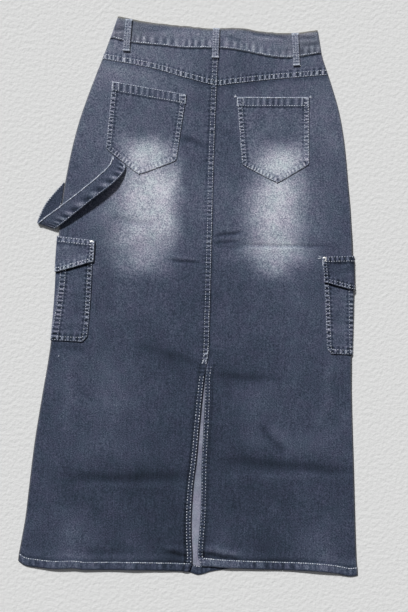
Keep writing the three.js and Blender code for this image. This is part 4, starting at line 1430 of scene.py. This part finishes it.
def make_cargo(side):
    cargo = CARGO[side]
    cloth(f"cargo_pocket_{side}", (100, 140), cargo_place(side))
    stitches = []
    surface = cargo_surface(side)
    ys = np.linspace(cargo["bottom"] + 2, cargo["top"] - 2, 24)
    for inset in (ROW_IN, 7.6):
        path = [(cargo_over(side, y) - inset, max(y, cargo["bottom"] + inset)) for y in ys]
        sew(stitches, surface, path, *FINE_ROW)
        foot = [(a, cargo["bottom"] + inset) for a in np.linspace(cargo["over_low"] - 8, -8, 20)]
        sew(stitches, surface, foot, *FINE_ROW)
    for off in (-4.0, 4.0):
        sew(stitches, surface, [(cargo_middle(side, y) + off, y) for y in ys], *FINE_ROW)

    cloth(f"cargo_flap_{side}", (120, 64), flap_place(side))
    over = cargo["over"] + FLAP_MARGIN
    flap_top = flap_surface(side)
    inwards = np.linspace(over - 2, -ROUND_OFF - 6, 24)
    row = (4.4, 3.0, 1.7 if side == "left" else 1.2)
    for inset in (ROW_IN, 9.2):
        sew(stitches, flap_top, [(a, flap_high(cargo, a) - inset) for a in inwards], *row)
    for inset in (ROW_IN, 6.8):
        ys = np.linspace(cargo["flap_side"] + inset, cargo["flap_top_over"] - 2, 12)
        sew(stitches, flap_top, [(flap_over(cargo, y) - inset, y) for y in ys], *row)
        inwards = np.linspace(cargo["flap_over_low"] - inset, -ROUND_OFF - 6, 24)
        sew(stitches, flap_top, [(a, flap_low(cargo, a) + inset) for a in inwards], *row)
    bar_tack(stitches, flap_top, over - ROW_IN, cargo["flap_top_over"] - 12, 9.0, 90)
    return stitches


# Hammer loop. STRAP_RUN spaces its puckers along it.
STRAP_RUN = 330


def hammer_place(u, v):
    """The strap's outer side: u across it from its outer edge, v along it from the pocket."""
    last = HAMMER_LOOP["n"][-1]

    def middle(across, at):
        n = np.clip(at, 0, 1) * last
        columns = ("outer_x", "inner_x", "outer_y", "inner_y", "z")
        outer_x, inner_x, outer_y, inner_y, z = (read(HAMMER_LOOP, "n", name, n) for name in columns)
        return np.stack([mix(outer_x, inner_x, across), mix(outer_y, inner_y, across), z], axis=-1)

    nudge = 0.006
    ahead = middle(u, np.minimum(v + nudge, 1)) - middle(u, np.maximum(v - nudge, 0))
    sideways = middle(np.ones_like(u), v) - middle(np.zeros_like(u), v)
    normal = np.cross(ahead, sideways)
    normal = normal / np.linalg.norm(normal, axis=-1, keepdims=True)
    width = np.linalg.norm(sideways, axis=-1)
    edge = np.minimum(u, 1 - u) * width
    wave = pucker(STRAP_RUN * v + 6 * (u - 0.5), 15, 151)
    rear = smooth(0.56, 0.62, v)
    between = smooth(2.5, 4, edge) * hump(u, 0.82, 0.28) * (1 - rear)
    lift = STRAP_CLOTH / 2 + 0.5 * wave * between - EDGE_DROP * (1 - smooth(0, 1.6, edge))
    lift = lift - 0.25 * hump(edge, 2.6, 0.8)
    x, y, z = np.moveaxis(middle(u, v) + normal * lift[..., None], -1, 0)
    # The rear leaf, under the fold, is painted darker as shade; the puckers wear pale and dark and the edges
    # paler.
    tone = 0.315 - 0.05 * rear + 1.1 * ladder(wave) * between + 0.14 * hump(edge, 0.5, 0.9)
    tone += 0.015 * mottle(x, y, 16, 153)
    return x, y, np.maximum(z, 0.05), tone


def make_hammer_loop():
    cloth(
        "hammer_loop", (18, 190), hammer_place,
        thickness=STRAP_CLOTH, skins=(face,), area_grid=(12, 120),
    )
    stitches = []
    for u, pitch, long, thick in ((0.05, 3.0, 3.6, 2.1), (0.93, 4.0, 3.2, 1.1)):
        path = [(u, v) for v in np.linspace(0.015, 0.56, 40)]
        sew(stitches, hammer_place, path, pitch, long, thick, UV_NUDGE)
        path = [(u, v) for v in np.linspace(0.66, 0.985, 30)]
        sew(stitches, hammer_wrong_side, path, 4.2, 3.0, 1.2, UV_NUDGE)
    for u in (0.12, 0.88):
        starts, ends = (
            np.array([(u + lean, 0.012 + 0.0028 * n) for n in range(9)]) for lean in (-0.06, 0.06)
        )
        tack(stitches, hammer_place, starts, ends, 2.4, 1.0, UV_NUDGE)
    return stitches


def hammer_wrong_side(u, v):
    x, y, z, tone = hammer_place(u, v)
    return x, y, z + STRAP_CLOTH, tone


# Hardware: a domed cap with a rolled rim and a dimple, step by step as shares of radius and height
CAP = (
    (0.0, 0.55), (0.18, 0.58), (0.32, 0.86), (0.55, 1.0), (0.8, 0.86), (0.97, 0.5), (1.0, 0.22), (0.96, 0.0),
)


def spin_metal(node, radius, height, way):
    """A cap turned from its outline, which faces up or, where `way` is -1, down."""
    low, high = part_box(node)
    form = bmesh.new()
    points = [form.verts.new((r * radius / 1000, 0, h * height / 1000)) for r, h in CAP]
    points.append(form.verts.new((0, 0, 0)))
    for a, b in zip(points[:-1], points[1:]):
        form.edges.new((a, b))
    bmesh.ops.spin(
        form, geom=form.verts[:] + form.edges[:], cent=(0, 0, 0), axis=(0, 0, 1),
        angle=2 * math.pi, steps=40, use_merge=True,
    )
    bmesh.ops.remove_doubles(form, verts=form.verts, dist=1e-6)
    if way < 0:
        bmesh.ops.scale(form, vec=(1, 1, -1), verts=form.verts)
        bmesh.ops.translate(form, vec=(0, 0, height / 1000), verts=form.verts)
    middle = ((low[0] + high[0]) / 2, (low[1] + high[1]) / 2, low[2])
    bmesh.ops.translate(form, vec=middle, verts=form.verts)
    bmesh.ops.recalc_face_normals(form, faces=form.faces)
    name = f"{node}_metal"
    piece = add_piece(name, mesh_from(form, name), (steel,))
    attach(piece, "root")
    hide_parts(node)


def beside_centre(side, inset, ys):
    """A row along the centre back, `inset` to the right of one side's edge."""
    return [(centre_line(side, y) + inset, y) for y in ys]


def body_stitches():
    """Rows along the hem, the slit, the centre-back seam and the yoke seam, and loose threads."""
    found = {}
    for side, sense in (("left", -1), ("right", 1)):
        panel = body_surface(side, "panel")
        stitches = []
        xs = np.linspace(side_line(side, -475) - sense * 2, centre_line(side, -470) + sense * 2, 60)
        row = [(x, hem_line(side, x) + HEM_ROW) for x in xs]
        sew(stitches, panel, row, 4.0, 3.8, 1.7)
        ys = np.linspace(-464, SLIT_TOP - (24 if side == "left" else 6), 60)
        for inset in (2.0, 7.8):
            row = beside_centre(side, sense * inset, ys)
            sew(stitches, panel, row, 5.2, 2.8, 1.7 if side == "left" else 1.3)
        if side == "left":
            ys = np.linspace(SLIT_TOP - 4, 370, 80)
            for inset, long in ((1.9, 3.4), (8.8, 2.6)):
                sew(stitches, panel, beside_centre(side, -inset, ys), 4.3, long, 1.2)
            for lean, y in ((2.6, -95.0), (7.0, -99.0), (3.0, -107.0), (7.6, -111.0)):
                bar_tack(stitches, panel, centre_line("left", y) - lean, y, 8.5, 68, 2.2)
            tack(stitches, panel, [(-247.4, -115.2)], [(-245.8, -114.2)], 2.6, 2.2)
        else:
            tack(stitches, panel, [(203.5, 80.5), (203, 82)], [(196.5, 79), (198, 83.5)], 7.0, 1.3)
        found[f"thread_back_{side}"] = stitches
        yoke = body_surface(side, "yoke")
        stitches = []
        xs = np.linspace(side_line(side, 404) - sense * 2, centre_line(side, 380), 50)
        for inset in (1.7, 9.0):
            row = [(x, yoke_line(x) + GAP + inset) for x in xs]
            sew(stitches, yoke, row, 4.2, 3.3, 1.35)
        if side == "left":
            ys = np.linspace(372, 433, 20)
            for inset in (1.9, 8.8):
                sew(stitches, yoke, beside_centre(side, -inset, ys), 4.3, 3.0, 1.2)
        found[f"thread_yoke_{side}"] = stitches
    return found


make_body()
threads = body_stitches()
threads["thread_front_hem"] = make_front()
threads["thread_waistband"] = make_waistband()
for side in ("left", "right"):
    threads[f"thread_back_pocket_{side}"] = make_pocket(side)
    threads[f"thread_cargo_{side}"] = make_cargo(side)
for name in BELT_LOOPS:
    threads[f"thread_loop_{name}"] = make_loop(name)
threads["thread_hammer_loop"] = make_hammer_loop()
for name, stitches in threads.items():
    thread(name, stitches, cotton)
for side in ("left", "right"):
    spin_metal(f"cargo_rivet_{side}", RIVET_RADIUS, RIVET_HEIGHT, 1)
spin_metal("waist_button", BUTTON_RADIUS, BUTTON_THICK, -1)

# Floor, light and camera
floor_form = bmesh.new()
bmesh.ops.create_grid(floor_form, x_segments=8, y_segments=8, size=3.0)
floor_mesh = mesh_from(floor_form, "floor")
floor_mesh.materials.append(floor_material())
floor = link("floor", floor_mesh)

scene = bpy.context.scene
scene.view_settings.view_transform = "Standard"
scene.view_settings.look = "None"

# The photo's turn, and its middle and height on the skirt in mm
PHOTO_TURN = math.radians(3.0)
PHOTO_X = 2.5
PHOTO_Y = -14.0
PHOTO_HIGH = 1071.0
# The camera's height and that of the cloth in metres, and its sensor's height in mm
CAMERA_HEIGHT = 2.3
CLOTH_HIGH = 0.004
SENSOR = 36

camera_data = bpy.data.cameras.new("camera")
camera_data.lens = SENSOR * (CAMERA_HEIGHT - CLOTH_HIGH) / (PHOTO_HIGH / 1000)
camera_data.clip_end = 20
camera = link("camera", camera_data)
camera.location = ((PHOTO_X + SHIFT_X) / 1000, (PHOTO_Y + SHIFT_Y) / 1000, CAMERA_HEIGHT)
camera.rotation_euler = (0, 0, PHOTO_TURN)
scene.camera = camera

# One soft key from the top left of the photograph, and a pale even surround
key_data = bpy.data.lights.new("key", "SUN")
key_data.energy = 3.35
key_data.angle = math.radians(8)
key = link("key", key_data)
key.rotation_euler = (math.radians(-40), math.radians(-26), 0)

world = bpy.data.worlds.new("surround")
world.use_nodes = True
background = world.node_tree.nodes["Background"]
background.inputs["Color"].default_value = colour("#f2f4f8")
background.inputs["Strength"].default_value = 0.16
scene.world = world
